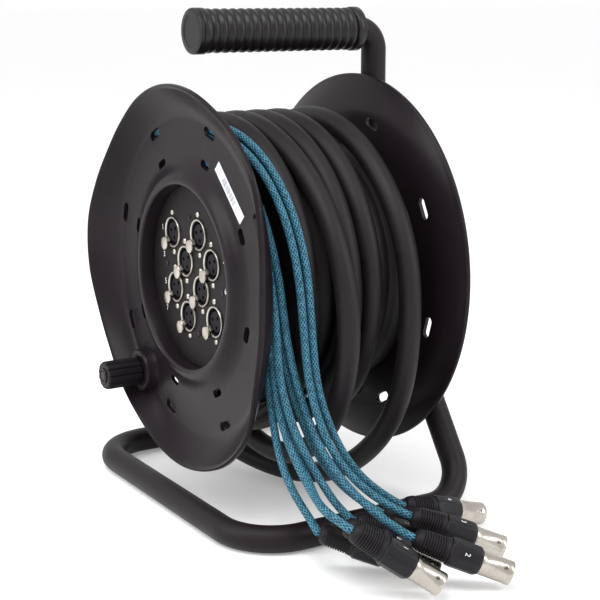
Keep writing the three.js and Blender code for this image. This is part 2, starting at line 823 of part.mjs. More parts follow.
// A latch tab: a round thumb plate, a square neck over the ring and a stem down into the socket's notch
function latchGeometry() {
  const neckEnd = latchOrbit - latchStemOrbit + latchStemDepth / 2;
  const shape = new THREE.Shape();
  const opening = Math.asin(latchNeckWidth / 2 / latchThumbRadius);
  shape.moveTo(-latchNeckWidth / 2, -neckEnd);
  shape.lineTo(latchNeckWidth / 2, -neckEnd);
  shape.absarc(0, 0, latchThumbRadius, -Math.PI / 2 + opening, Math.PI * 3 / 2 - opening, false);
  shape.closePath();
  const plate = new THREE.ExtrudeGeometry(shape, {
    depth: latchThickness, bevelEnabled: false, curveSegments: 6,
  });
  plate.rotateX(-Math.PI / 2);
  plate.rotateY(Math.PI);
  const stem = new THREE.BoxGeometry(latchNeckWidth, latchStemLength, latchStemDepth);
  stem.translate(0, latchThickness / 2 + latchStemLength / 2, latchStemOrbit - latchOrbit);
  return join(plate, [stem]);
}
const latchForm = latchGeometry();
const latchStandOff = socketRingRise + latchTravel + seatGap;
socketPlaces.forEach(({ x, z }, i) => {
  const socket = addPiece(drum, `socket_${i + 1}`, socketForm, finishes.nickel);
  socket.position.set(x, panelFaceY, z);
  const latch = addPiece(drum, `latch_${i + 1}`, latchForm, finishes.nickel);
  const at = aroundAxle(latchAngleDegrees, latchOrbit, 0);
  latch.rotation.y = latchAngleDegrees * degrees;
  latch.position.set(x + at.x, panelFaceY - latchStandOff - latchThickness, z + at.z);
});

// Free tail of the multicore: degrees round the axle, radius and Y, chosen by hand
const tailRoute = [
  [150, 104.6, 51], [165, 104.6, 50.5], [180, 105, 50], [196, 107, 49.5], [212, 111.5, 49],
  [228, 115.8, 48.5], [250, 117.6, 48], [280, 117.6, 47], [310, 117.6, 46], [340, 117.8, 45.5],
  [365, 118, 45], [388, 119.5, 44.5], [408, 123, 44], [426, 128, 44], [442, 133, 43.5],
  [455, 136.5, 42.5], [468, 142, 42], [480, 149.5, 41], [492, 156, 39], [504, 160.5, 36.5],
  [517, 165.5, 32], [531, 169.6, 25], [543, 171, 15], [555, 171, 2], [567, 170.6, -12],
  [578, 168.6, -26], [588, 163, -36], [599, 154, -43], [611, 146, -47],
];
// The routes were drawn for a winding of this radius, and rise or sink with it
const routedAtRadius = 116.5;
const routeLift = windingRadius - routedAtRadius;
function routePoint([angle, radius, y]) {
  return aroundAxle(angle, radius + routeLift, y);
}
const bootAtDegrees = 632;
const bootAtRadius = 140;
const bootAtY = -50;

// Spaced stations along a hand-drawn route, its first and last stretch left straight
function cordStations(points, steps) {
  const curve = new THREE.CatmullRomCurve3(points.slice(1, -1), false, 'centripetal');
  return [points[0], ...curve.getSpacedPoints(steps - 2), points[points.length - 1]];
}
const bootBase = routePoint([bootAtDegrees, bootAtRadius, bootAtY]);
const bootLean = 0.04;
const bootDirection = new THREE.Vector3(bootLean, 0, 1).normalize();
const tailPoints = [
  ...tailRoute.map(routePoint),
  bootBase.clone().addScaledVector(bootDirection, -cableDiameter),
  bootBase.clone().addScaledVector(bootDirection, -seatGap),
];
const tailSides = 8;
const tailSteps = 44;
const tailTube = sweep(cordStations(tailPoints, tailSteps), cableDiameter, tailSides);
addPiece(cords, 'multicore_tail', tailTube, finishes.jacket);

// Boot where the multicore parts into eight leads
const boot = addPiece(cords, 'breakout_boot', turned([
  [0, 0],
  [bootStartRadius, 0],
  [bootWaistRadius, bootLength / 4],
  [bootWaistRadius, bootLength * 3 / 4],
  [bootEndRadius, bootLength],
  [0, bootLength],
], tailSides * 2), finishes.rubber);
boot.quaternion.setFromUnitVectors(new THREE.Vector3(0, 1, 0), bootDirection);
boot.position.copy(bootBase);

// Plugs as they lie: start of the boot, turn about Z and tilt in degrees
const plugPlaces = [
  { at: [224.2, -66.6, -131.8], yaw: 57.5, tilt: -32.6 },
  { at: [233.3, -22.5, -143.3], yaw: 59.1, tilt: -21.4 },
  { at: [198.0, 0.8, -143.9], yaw: 62.9, tilt: -21.2 },
  { at: [158.4, 23.9, -153.3], yaw: 86.3, tilt: -15.1 },
  { at: [177.8, -61.6, -150.0], yaw: 55.3, tilt: -18.1 },
  { at: [165.6, -0.1, -152.2], yaw: 67.0, tilt: -16.1 },
  { at: [178.0, -32.9, -147.3], yaw: 72.2, tilt: -20.5 },
  { at: [204.9, -59.0, -136.2], yaw: 60.3, tilt: -28.8 },
];
function plugFrame({ at, yaw, tilt }) {
  const direction = new THREE.Vector3(
    Math.cos(yaw * degrees) * Math.cos(tilt * degrees),
    Math.sin(yaw * degrees) * Math.cos(tilt * degrees),
    Math.sin(tilt * degrees),
  );
  return { start: new THREE.Vector3(...at), direction };
}
function placeAlong(mesh, start, direction) {
  mesh.quaternion.setFromUnitVectors(new THREE.Vector3(0, 1, 0), direction);
  mesh.position.copy(start);
}
const plugBodyEnd = plugBootLength + plugBodyLength;
const plugBodyForm = turned([
  [0, 0],
  [plugBootStartRadius, 0],
  [plugBootEndRadius, plugBootLength / 2],
  [plugBootEndRadius, plugBootLength],
  [plugBodyRadius, plugBootLength + plugNoseLength],
  [plugBodyRadius, plugBodyEnd - plugNoseLength],
  [plugNoseRadius, plugBodyEnd],
  [0, plugBodyEnd],
], plugFacets);
const shellSegments = 12;
const shellEnd = plugBodyEnd + plugShellLength;
const shellFloor = shellEnd - plugSocketDepth;
const plugShellForm = turned([
  [0, plugBodyEnd + seatGap],
  [plugShellRadius, plugBodyEnd + seatGap],
  [plugShellRadius, shellEnd],
  [plugShellRadius - plugShellWall, shellEnd],
  [plugShellRadius - plugShellWall, shellFloor],
  [0, shellFloor],
], shellSegments);
plugPlaces.forEach((place, i) => {
  const { start, direction } = plugFrame(place);
  placeAlong(addPiece(cords, `plug_body_${i + 1}`, plugBodyForm, finishes.rubber), start, direction);
  placeAlong(addPiece(cords, `plug_shell_${i + 1}`, plugShellForm, finishes.nickel), start, direction);
});

// Routes of the leads, chosen by hand: first round the axle (degrees, radius, Y), then X, Y, Z down to the plug
const leadRoutes = [
  {
    exit: 257,
    round: [[-58, 143, -59.6], [-36, 120, -61.2], [-18, 104.8, -61.6], [0, 100.3, -61.6],
      [20, 100.3, -61.6], [42, 100.3, -61.6], [64, 101.8, -61.6], [84, 106.2, -61.6]],
    down: [[112, -61.6, -19], [116, -61.4, -54], [121, -60.4, -80], [128, -58, -99],
      [140, -57, -113], [161, -61, -121.5], [186, -69, -124], [207, -75.5, -123.5]],
  },
  {
    exit: 103,
    round: [[-58, 149, -48.4], [-36, 128.4, -54.4], [-18, 112.4, -55.4], [0, 107.6, -55.4],
      [20, 107.6, -55.4], [42, 107.6, -55.4], [64, 109.2, -55.3], [84, 114, -54.9]],
    down: [[119.5, -53.7, -23], [122.5, -49.7, -49.2], [128, -44.8, -73.7], [138, -40.1, -97.8],
      [156, -35.6, -117.2], [181, -32.8, -129.3], [207, -29, -137.7], [225, -26, -142]],
  },
  {
    exit: 154,
    round: [[-58, 155.5, -46], [-47, 149, -51.5], [-36, 137, -57.3], [-18, 119.6, -61.2],
      [0, 116.2, -61.4], [18, 118.5, -61], [32, 124.5, -59.2], [46, 129.2, -56.2],
      [62, 130.4, -52.2], [80, 130.2, -49]],
    down: [[130.5, -45.5, -21.8], [133, -42.9, -58], [139, -36.6, -88.5], [149, -28.5, -113.1],
      [164, -18.8, -129.1], [181, -10.7, -137.7], [193, -4.6, -141.7]],
  },
  {
    exit: 51,
    round: [[-58, 139.5, -43], [-36, 134.4, -49], [-18, 120.4, -55], [0, 117.6, -55.4],
      [16, 121.5, -55.1], [29, 127.6, -53.9], [42, 130.6, -50.4], [58, 130.6, -45.6],
      [76, 130.2, -42]],
    down: [[130.5, -38.5, -22.7], [132.5, -35.9, -59.2], [136.5, -26.4, -93.1],
      [142.5, -13, -120.8], [148.5, 2.4, -138.7], [153.5, 14.1, -147.8]],
  },
  {
    exit: 309,
    round: [[-58, 136, -57.8], [-36, 112.5, -61], [-18, 97.5, -61.6], [0, 93, -61.6],
      [20, 93, -61.6], [42, 93, -61.6], [64, 94.5, -61.6], [84, 99, -61.6]],
    down: [[104.6, -61.6, -20.6], [107, -61.6, -49.8], [112, -61.6, -78.7], [119, -61.6, -101.4],
      [127, -61.6, -117.7], [139, -61.6, -130.4], [155, -61.6, -140], [170, -61.6, -146.3]],
  },
  {
    exit: null,
    round: [[-58, 142.9, -52.9], [-36, 120.2, -54.8], [-18, 104.8, -55.4], [0, 100.3, -55.4],
      [20, 100.3, -55.4], [42, 100.3, -55.4], [64, 101.8, -55.4], [84, 106.4, -55.2]],
    down: [[112.5, -55.2, -24.3], [115, -50.2, -53.8], [119, -44.3, -78.3], [125, -37.8, -101],
      [133, -29.2, -121.4], [144, -19, -137.5], [156, -8.8, -146.4]],
  },
  {
    exit: 206,
    round: [[-58, 150.8, -57], [-36, 127.8, -61], [-18, 112.1, -61.6], [0, 107.6, -61.6],
      [20, 107.6, -61.6], [42, 107.6, -61.6], [64, 109.1, -61.6], [84, 113.5, -61.3]],
    down: [[119.5, -61.6, -19.2], [123, -61.6, -51.7], [128, -57.3, -77.6], [135, -52.5, -98],
      [145, -46.6, -116.5], [158, -42.6, -131.5], [169, -40.5, -141]],
  },
  {
    exit: 0,
    round: [[-58, 136, -50.8], [-36, 112.5, -54.4], [-18, 97.5, -55.3], [0, 93, -55.4],
      [20, 93, -55.4], [42, 93, -55.4], [64, 94.5, -55.4], [84, 99.2, -55.5]],
    down: [[106, -55.4, -23], [110, -55, -56], [116, -53, -81], [124, -50, -102],
      [136, -50, -116.5], [157, -54.2, -129.5], [180, -61, -134.5], [193, -61.6, -134]],
  },
];
const leadSteps = 19;
const leadSides = 8;
const leadExitOrbit = 8.2;
const exitStaggerShare = 0.7;
const bootTop = bootBase.clone().addScaledVector(bootDirection, bootLength + seatGap);
leadRoutes.forEach(({ exit, round, down }, i) => {
  const { start, direction } = plugFrame(plugPlaces[i]);
  const mouth = bootTop.clone();
  if (exit !== null) mouth.x += leadExitOrbit * Math.cos(exit * degrees);
  if (exit !== null) mouth.y += leadExitOrbit * Math.sin(exit * degrees);
  const outward = bootTop.x + leadExitOrbit - mouth.x;
  const points = [
    mouth,
    mouth.clone().addScaledVector(bootDirection, leadDiameter + outward * exitStaggerShare),
    ...round.map(routePoint),
    ...down.map(([x, y, z]) => new THREE.Vector3(x, y, z)),
    start.clone().addScaledVector(direction, -leadDiameter),
    start.clone().addScaledVector(direction, -seatGap),
  ];
  const tube = sweep(cordStations(points, leadSteps), leadDiameter, leadSides);
  addPiece(cords, `lead_${i + 1}`, tube, finishes.mesh);
});

export default group;
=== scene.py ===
"""A stage box snake: cable drum with a socket panel, bent tube stand, ribbed grip, multicore and eight leads.

Metres, +Z up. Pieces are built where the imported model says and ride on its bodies.
"""

import itertools
import math

import bmesh
import bpy
from mathutils import Matrix, Vector


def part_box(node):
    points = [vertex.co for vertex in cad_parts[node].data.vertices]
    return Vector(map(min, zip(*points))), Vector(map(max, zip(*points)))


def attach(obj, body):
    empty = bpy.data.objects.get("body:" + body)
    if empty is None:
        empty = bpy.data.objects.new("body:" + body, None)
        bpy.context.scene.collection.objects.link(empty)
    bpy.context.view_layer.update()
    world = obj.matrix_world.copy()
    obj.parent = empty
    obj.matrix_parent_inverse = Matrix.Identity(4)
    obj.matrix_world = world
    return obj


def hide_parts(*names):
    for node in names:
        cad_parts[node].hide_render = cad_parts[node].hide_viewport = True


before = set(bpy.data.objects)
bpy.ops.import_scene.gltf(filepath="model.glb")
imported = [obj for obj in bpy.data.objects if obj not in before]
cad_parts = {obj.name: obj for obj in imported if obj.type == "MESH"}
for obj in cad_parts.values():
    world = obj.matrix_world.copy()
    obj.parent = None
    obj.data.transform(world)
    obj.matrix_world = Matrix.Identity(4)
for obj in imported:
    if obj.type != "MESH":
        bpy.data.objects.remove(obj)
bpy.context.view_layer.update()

# Sizes repeated from the part, in metres
AXLE_HEIGHT = 0.180
DRUM_TURN = math.radians(-5)
BRACKET_FACE_Y = 0.0912
TUBE_RADIUS = 0.010
STAND_HALF = 0.1328
FRONT_RUN_Y = -0.0908
UPRIGHT_Y = 0.1015
APEX_HEIGHT = 0.024
WELD_LEG_GAP = 0.034
GRIP_HEIGHT = 0.185
GRIP_LENGTH = 0.144
GRIP_BEND = 0.017
GRIP_CAP = 0.003
WEB_Y = -0.0679
FAR_WEB_Y = 0.076
FLANGE_WALL = 0.003
FLANGE_RADIUS = 0.150
RECESS_RADIUS = 0.071
PANEL_Y = WEB_Y + 0.0042
PANEL_BACK_Y = PANEL_Y + 0.002
CABLE_RADIUS = 0.0083
LEAD_RADIUS = 0.0029
SEAT_GAP = 0.0003

shift_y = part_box("axle_bracket")[1][1] - BRACKET_FACE_Y
AXLE = Vector((0, shift_y, AXLE_HEIGHT))
CORD_FRAME = Matrix.Translation(AXLE)
DRUM_FRAME = CORD_FRAME @ Matrix.Rotation(DRUM_TURN, 4, "Y")
STAND_FRAME = Matrix.Translation((0, shift_y, 0))

# Camera of the photograph
CAMERA_AZIMUTH = math.radians(58.2)
CAMERA_HEIGHT_ANGLE = math.radians(12.3)
CAMERA_DISTANCE = 1.075
CAMERA_FOCAL_PIXELS = 1413.0
PICTURE_PIXELS = 600.0
CAMERA_TARGET = Vector((0.0559, -0.0026 + shift_y, 0.1645))

camera_data = bpy.data.cameras.new("camera")
camera_data.sensor_width = 36.0
camera_data.lens = camera_data.sensor_width * CAMERA_FOCAL_PIXELS / PICTURE_PIXELS
camera = bpy.data.objects.new("camera", camera_data)
bpy.context.scene.collection.objects.link(camera)
look = Vector((
    -math.sin(CAMERA_AZIMUTH) * math.cos(CAMERA_HEIGHT_ANGLE),
    math.cos(CAMERA_AZIMUTH) * math.cos(CAMERA_HEIGHT_ANGLE),
    -math.sin(CAMERA_HEIGHT_ANGLE),
))
camera.location = CAMERA_TARGET - look * CAMERA_DISTANCE
camera.rotation_euler = look.to_track_quat("-Z", "Y").to_euler()
bpy.context.scene.camera = camera


# Materials. A pixel of the picture covers about 0.75 mm, so a finer grain is drawn coarser than it is.
MM = 0.001


def colour(code):
    """A hex sRGB colour as linear RGBA."""
    parts = [int(code[i:i + 2], 16) / 255 for i in (1, 3, 5)]
    return [c / 12.92 if c <= 0.04045 else ((c + 0.055) / 1.055) ** 2.4 for c in parts] + [1.0]


def feed(node, inputs):
    """Gives a node's inputs, by name or in order, a value or the output that they are linked to."""
    for key, value in inputs.items() if isinstance(inputs, dict) else enumerate(inputs):
        if isinstance(value, bpy.types.NodeSocket):
            node.id_data.links.new(value, node.inputs[key])
        else:
            node.inputs[key].default_value = value


def add_node(tree, kind, inputs=(), stops=(), **settings):
    """Adds a node with its inputs and settings; stops are (place, hex colour or grey) along its ramp."""
    node = tree.nodes.new("ShaderNode" + kind)
    for key, value in settings.items():
        setattr(node, key, value)
    if stops:
        bar = node.color_ramp
        while len(bar.elements) < len(stops):
            bar.elements.new(1.0)
        for element, (at, value) in zip(bar.elements, stops):
            element.position = at
            element.color = colour(value) if isinstance(value, str) else [value, value, value, 1.0]
    feed(node, inputs)
    return node


def new_material(name):
    """A new material, its node tree and its surface shader."""
    material = bpy.data.materials.new(name)
    material.use_nodes = True
    return material, material.node_tree, material.node_tree.nodes["Principled BSDF"]


def plain_finish(name, colours, rough, grain, patch=35, shine=0.22):
    """A moulded, sprayed or printed surface: broad patches vary colour and gloss, and a fine grain is bump.

    grain is the grain's size and depth, and patch the patches' size, all in mm.
    """
    material, tree, surface = new_material(name)
    spot = add_node(tree, "TexCoord").outputs["Object"]
    patch_look = {"Vector": spot, "Scale": 1 / (patch * MM), "Detail": 4.0, "Roughness": 0.6}
    grain_look = {"Vector": spot, "Scale": 1 / (grain[0] * MM), "Detail": 2.0, "Roughness": 0.55}
    patches = [add_node(tree, "TexNoise", patch_look).outputs["Fac"]]
    fine = add_node(tree, "TexNoise", grain_look).outputs["Fac"]
    bump = add_node(tree, "Bump", {"Height": fine, "Strength": 0.35, "Distance": grain[1] * MM})
    tone = add_node(tree, "ValToRGB", patches, stops=[(0.3, colours[0]), (0.72, colours[1])])
    gloss = add_node(tree, "ValToRGB", patches, stops=[(0.25, rough[0]), (0.75, rough[1])])
    feed(surface, {
        "Base Color": tone.outputs["Color"], "Roughness": gloss.outputs["Color"],
        "Specular IOR Level": shine, "Normal": bump.outputs["Normal"],
    })
    return material


PLATE_GRAIN_MM = 0.6
PLATE_PATCH_MM = 12


def plated_metal(name, colours, rough):
    """Plated metal: its grain, under 0.1 mm in truth, blurs what it mirrors; its tone varies in patches."""
    material, tree, surface = new_material(name)
    spot = add_node(tree, "TexCoord").outputs["Object"]
    grain_look = {"Vector": spot, "Scale": 1 / (PLATE_GRAIN_MM * MM), "Detail": 2.0, "Roughness": 0.5}
    patch_look = {"Vector": spot, "Scale": 1 / (PLATE_PATCH_MM * MM), "Detail": 3.0, "Roughness": 0.5}
    grain = add_node(tree, "TexNoise", grain_look).outputs["Fac"]
    patches = add_node(tree, "TexNoise", patch_look).outputs["Fac"]
    bump = add_node(tree, "Bump", {"Height": grain, "Strength": 0.08, "Distance": 0.04 * MM})
    tone = add_node(tree, "ValToRGB", [patches], stops=[(0.3, colours[0]), (0.7, colours[1])])
    gloss = add_node(tree, "ValToRGB", [grain], stops=[(0.25, rough[0]), (0.75, rough[1])])
    feed(surface, {
        "Base Color": tone.outputs["Color"], "Roughness": gloss.outputs["Color"],
        "Metallic": 1.0, "Normal": bump.outputs["Normal"],
    })
    return material


# Lines that the die draws along the jacket, really about 0.3 mm apart and drawn at 1.13 mm
LINE_WIDTH_MM = 1.13
LINE_LENGTH_MM = 149
JACKET_GRAIN_MM = 0.7
SCUFF_MM = 30


def cable_jacket(name):
    """Extruded rubber jacket: matt, so its turns shade softly, with lengthways lines and pale scuffs."""
    material, tree, surface = new_material(name)
    girth = 2 * math.pi * CABLE_RADIUS
    stretch = (round(girth / (LINE_WIDTH_MM * MM)), girth / (LINE_LENGTH_MM * MM), 1.0)
    run = add_node(tree, "UVMap").outputs["UV"]
    spot = add_node(tree, "TexCoord").outputs["Object"]
    lines = add_node(tree, "Mapping", {"Vector": run, "Scale": stretch}).outputs["Vector"]
    line_look = {"Vector": lines, "Scale": 1.0, "Detail": 2.0, "Roughness": 0.5}
    scuff_look = {"Vector": spot, "Scale": 1 / (SCUFF_MM * MM), "Detail": 5.0, "Roughness": 0.65}
    grain_look = {"Vector": spot, "Scale": 1 / (JACKET_GRAIN_MM * MM), "Detail": 2.0, "Roughness": 0.55}
    drawn = add_node(tree, "TexNoise", line_look).outputs["Fac"]
    scuffs = add_node(tree, "TexNoise", scuff_look).outputs["Fac"]
    grain = add_node(tree, "TexNoise", grain_look).outputs["Fac"]
    height = add_node(tree, "Math", (drawn, 0.7, grain), operation="MULTIPLY_ADD").outputs[0]
    bump = add_node(tree, "Bump", {"Height": height, "Strength": 0.22, "Distance": 0.16 * MM})
    jacket_tones = [(0.28, "#110d0f"), (0.62, "#181316"), (0.85, "#211c1f")]
    tone = add_node(tree, "ValToRGB", [scuffs], stops=jacket_tones)
    gloss = add_node(tree, "ValToRGB", [scuffs], stops=[(0.2, 0.44), (0.8, 0.60)])
    feed(surface, {
        "Base Color": tone.outputs["Color"], "Roughness": gloss.outputs["Color"],
        "Specular IOR Level": 0.25, "Normal": bump.outputs["Normal"],
    })
    return material


# The braid's yarns, really about 1 mm wide, are drawn 2.3 mm apart round the lead and 3.6 mm apart along it
YARN_AROUND_MM = 2.3
YARN_ALONG_MM = 3.6
WEAR_MM = 2.5


def braided_sleeve(name):
    """Woven polyester sleeve: two sets of yarns cross over a dark core, as pale diamonds on a dark lead; each
    yarn's crest carries a painted highlight.
    """
    material, tree, surface = new_material(name)
    girth = 2 * math.pi * LEAD_RADIUS
    run = add_node(tree, "SeparateXYZ", [add_node(tree, "UVMap").outputs["UV"]]).outputs
    yarns_around = round(girth / (YARN_AROUND_MM * MM)) * 2 * math.pi
    yarns_along = round(girth / (YARN_ALONG_MM * MM)) * 2 * math.pi
    around = add_node(tree, "Math", (run["X"], yarns_around), operation="MULTIPLY").outputs[0]
    along_run = add_node(tree, "Math", (run["Y"], yarns_along), operation="MULTIPLY").outputs[0]
    yarns = []
    for way in ("ADD", "SUBTRACT"):
        phase = add_node(tree, "Math", (around, along_run), operation=way).outputs[0]
        yarns.append(add_node(tree, "Math", [phase], operation="SINE").outputs[0])
    over = add_node(tree, "Math", yarns, operation="MAXIMUM").outputs[0]
    height = add_node(tree, "Math", (over, 0.5, 0.5), operation="MULTIPLY_ADD").outputs[0]
    spot = add_node(tree, "TexCoord").outputs["Object"]
    wear_look = {"Vector": spot, "Scale": 1 / (WEAR_MM * MM), "Detail": 2.0, "Roughness": 0.55}
    noise = add_node(tree, "TexNoise", wear_look).outputs["Fac"]
    wear = add_node(tree, "Math", (noise, 0.8, -0.4), operation="MULTIPLY_ADD").outputs[0]
    shade = add_node(tree, "Math", (height, wear), operation="ADD").outputs[0]
    # The darkest stop is the core showing between the yarns; the palest, on each yarn's crest, is a painted
    # highlight
    yarn_and_highlight_tones = [(0.30, "#101a2a"), (0.60, "#1b3e52"), (0.84, "#2a6075"), (1.0, "#4f8da3")]
    tone = add_node(tree, "ValToRGB", [shade], stops=yarn_and_highlight_tones)
    bump = add_node(tree, "Bump", {"Height": height, "Strength": 0.4, "Distance": 0.3 * MM})
    feed(surface, {
        "Base Color": tone.outputs["Color"], "Roughness": 0.6,
        "Specular IOR Level": 0.25, "Normal": bump.outputs["Normal"],
    })
    return material


# Powder coat, sprayed on steel and baked: its peel, 0.3 mm in truth, blurs the highlights along the tube
paint = plain_finish(
    "satin_black_powder_coat", ("#171214", "#1f191c"), (0.40, 0.54), grain=(0.6, 0.12), patch=50, shine=0.18)
# Tough plastic, moulded in a smooth tool: a satin skin with broad soft highlights; grain 0.1 mm in truth
plastic = plain_finish(
    "satin_black_moulded_plastic", ("#191317", "#1f191d"), (0.26, 0.36), grain=(0.9, 0.03), patch=80,
    shine=0.14)
# Rubber, moulded: dull, so its edges only turn grey; grain 0.1 mm in truth
rubber = plain_finish(
    "matt_black_rubber", ("#151215", "#1c181c"), (0.46, 0.60), grain=(0.5, 0.10), patch=20, shine=0.2)
# Soft rubber, moulded in a polished tool: each rib of the grip carries a thin highlight
grip_rubber = plain_finish(
    "glossy_black_grip_rubber", ("#110e10", "#181416"), (0.32, 0.42), grain=(0.5, 0.04), patch=20, shine=0.3)
# Nylon, moulded with a spark-eroded skin, 0.1 mm in truth: the flats of a plug each catch the light evenly
housing = plain_finish(
    "black_nylon_plug_housing", ("#121015", "#19161b"), (0.34, 0.44), grain=(0.4, 0.06), patch=12)
# Textured paint on sheet steel: dry, with grains, 0.3 mm in truth, that break up every reflection
panel_paint = plain_finish(
    "textured_black_panel_paint", ("#120f10", "#1c1819"), (0.46, 0.60), grain=(0.8, 0.30), patch=4,
    shine=0.14)
# Glass-filled plastic, moulded: the socket's inside stays nearly black, and its holes are darker still
insert_plastic = plain_finish(
    "black_socket_insert_plastic", ("#0f0d12", "#161318"), (0.46, 0.56), grain=(0.5, 0.06), patch=10,
    shine=0.10)
# Steel, blackened in an oxide bath: dark heads with small bright edges
black_screw = plain_finish(
    "black_oxide_screw_steel", ("#131213", "#232122"), (0.30, 0.42), grain=(0.5, 0.04), patch=6, shine=0.4)
jacket = cable_jacket("matt_rubber_cable_jacket")
braid = braided_sleeve("blue_green_braided_sleeve")
# Brass tube, nickel plated and left satin: long soft highlights along a plug's shell
nickel = plated_metal("satin_nickel_plate", ("#a39d95", "#b8b2aa"), (0.24, 0.30))
# Steel, zinc plated: a cold, slightly cloudy grey
zinc = plated_metal("bright_zinc_plate", ("#a9aaab", "#c6c6c4"), (0.30, 0.44))
# Zinc, die cast and nickel plated: paler and less even than the tube, so that rings and tabs stand out
die_cast = plated_metal("satin_nickel_die_casting", ("#aaa49b", "#c8c2b9"), (0.26, 0.40))
# Nylon without colour, turned: ivory, with a waxy sheen
nylon = plain_finish("natural_nylon_bush", ("#cfc9b8", "#ddd8ca"), (0.42, 0.50), grain=(0.8, 0.04))
# Vinyl film, printed in grey: clean and flat, the only white on the flange
label_paper = plain_finish("white_vinyl_label", ("#dedee4", "#ececf0"), (0.42, 0.50), grain=(1.0, 0.02))
label_ink = plain_finish("grey_label_ink", ("#8a8c94", "#a2a4ac"), (0.50, 0.60), grain=(0.6, 0.01))
# Ink, screen printed: numbers that stand out from the black without shining
white_ink = plain_finish("white_screen_print", ("#d4d6da", "#eceef0"), (0.45, 0.55), grain=(0.6, 0.01))


# Mesh helpers
def finish_mesh(name, mesh, material, sharp_degrees=38):
    mesh.materials.clear()
    mesh.materials.append(material)
    for face in mesh.polygons:
        face.use_smooth = True
    mesh.set_sharp_from_angle(angle=math.radians(sharp_degrees))
    made = bpy.data.objects.new(name, mesh)
    bpy.context.scene.collection.objects.link(made)
    return made


def mesh_piece(name, points, faces, material, matrix=Matrix(), sharp_degrees=38):
    mesh = bpy.data.meshes.new(name)
    mesh.from_pydata([tuple(p) for p in points], [], faces)
    mesh.transform(matrix)
    bm = bmesh.new()
    bm.from_mesh(mesh)
    bmesh.ops.recalc_face_normals(bm, faces=bm.faces)
    bm.to_mesh(mesh)
    bm.free()
    mesh.validate()
    return finish_mesh(name, mesh, material, sharp_degrees)


def on_circle(angle, radius, y):
    """A point round the Y axis, its angle in radians from +Z towards +X."""
    return Vector((radius * math.sin(angle), y, radius * math.cos(angle)))


def around_axle(degrees, radius, y):
    return on_circle(math.radians(degrees), radius, y)


def spun(degrees):
    """A turn about Y."""
    return Matrix.Rotation(math.radians(degrees), 4, "Y")


def moved(x, y, z):
    return Matrix.Translation((x, y, z))


def ring_faces(rings, sides, closed=False):
    """Faces between rings of points that follow one another, and from the last to the first if closed."""
    faces = []
    for k in range(rings if closed else rings - 1):
        a, b = k * sides, (k + 1) % rings * sides
        for i in range(sides):
            j = (i + 1) % sides
            faces.append((a + i, a + j, b + j, b + i))
    return faces


def prism_faces(count):
    """The sides and ends of a prism, whose second outline's points follow the first one's."""
    ends = [tuple(range(count))[::-1], tuple(range(count, 2 * count))]
    return ring_faces(2, count) + ends


def turned(name, profile, segments, material, matrix=Matrix(), shape=None, sharp_degrees=38):
    """A solid turned about Y from (radius, y) points, closed on the axis or on itself."""
    closed = profile[0] == profile[-1]
    points, rings = [], []
    for radius, y in profile[:-1] if closed else profile:
        count = segments if radius else 1
        rings.append([len(points) + i for i in range(count)])
        points += [on_circle(2 * math.pi * i / segments, radius, y) for i in range(count)]
    if shape:
        points = [shape(p) for p in points]
    faces = []
    for a, b in zip(rings, rings[1:] + (rings[:1] if closed else [])):
        for i in range(segments):
            j = (i + 1) % segments
            if len(a) == 1:
                faces.append((a[0], b[i], b[j]))
            elif len(b) == 1:
                faces.append((a[i], b[0], a[j]))
            else:
                faces.append((a[i], b[i], b[j], a[j]))
    return mesh_piece(name, points, faces, material, matrix, sharp_degrees)


def swept(name, line, radius, sides, material, sharp_degrees=50, floor=None):
    """A round tube along a line, with a UV map: x once round, y in turns of its own girth."""
    frames = []
    tangent = (line[1] - line[0]).normalized()
    side = tangent.orthogonal().normalized()
    for i, place in enumerate(line):
        if i == 0:
            new = (line[1] - line[0]).normalized()
        elif i == len(line) - 1:
            new = (line[-1] - line[-2]).normalized()
        else:
            new = ((line[i + 1] - place).normalized() + (place - line[i - 1]).normalized()).normalized()
        side = tangent.rotation_difference(new) @ side
        side = (side - new * side.dot(new)).normalized()
        tangent = new
        frames.append((place, side, new.cross(side)))
    points = []
    for place_here, one, two in frames:
        for i in range(sides):
            a = 2 * math.pi * i / sides
            points.append(place_here + (one * math.cos(a) + two * math.sin(a)) * radius)
    if floor is not None:
        points = [Vector((p.x, p.y, max(p.z, floor))) for p in points]
    run, lengths = 0.0, [0.0]
    for a, b in zip(line, line[1:]):
        run += (b - a).length
        lengths.append(run / (2 * math.pi * radius))
    faces, uvs = ring_faces(len(line), sides), []
    for v0, v1 in zip(lengths, lengths[1:]):
        for i in range(sides):
            u0, u1 = i / sides, (i + 1) / sides
            uvs.append([(u0, v0), (u1, v0), (u1, v1), (u0, v1)])
    faces.append(tuple(range(sides))[::-1])
    faces.append(tuple((len(line) - 1) * sides + i for i in range(sides)))
    uvs.extend([[(0.0, 0.0)] * sides, [(0.0, 0.0)] * sides])
    mesh = bpy.data.meshes.new(name)
    mesh.from_pydata([tuple(p) for p in points], [], faces)
    layer = mesh.uv_layers.new(name="UVMap")
    for polygon, corners in zip(mesh.polygons, uvs):
        for loop, corner in zip(polygon.loop_indices, corners):
            layer.data[loop].uv = corner
    return finish_mesh(name, mesh, material, sharp_degrees)


BOX_FACES = [(0, 1, 3, 2), (4, 6, 7, 5), (0, 4, 5, 1), (2, 3, 7, 6), (0, 2, 6, 4), (1, 5, 7, 3)]


def boxed(name, low, high, material, matrix=Matrix(), bevel=0.0):
    points = [Vector(p) for p in itertools.product(*zip(low, high))]
    made = mesh_piece(name, points, BOX_FACES, material, matrix)
    if bevel:
        rounded(made, bevel)
    return made


def rounded(piece, width, segments=2, angle=40):
    """Rounds the sharp edges of a piece for good."""
    modifier = piece.modifiers.new("rounded", "BEVEL")
    modifier.width = width
    modifier.segments = segments
    modifier.limit_method = "ANGLE"
    modifier.angle_limit = math.radians(angle)
    apply_modifiers(piece)
    piece.data.set_sharp_from_angle(angle=math.radians(angle))
    return piece


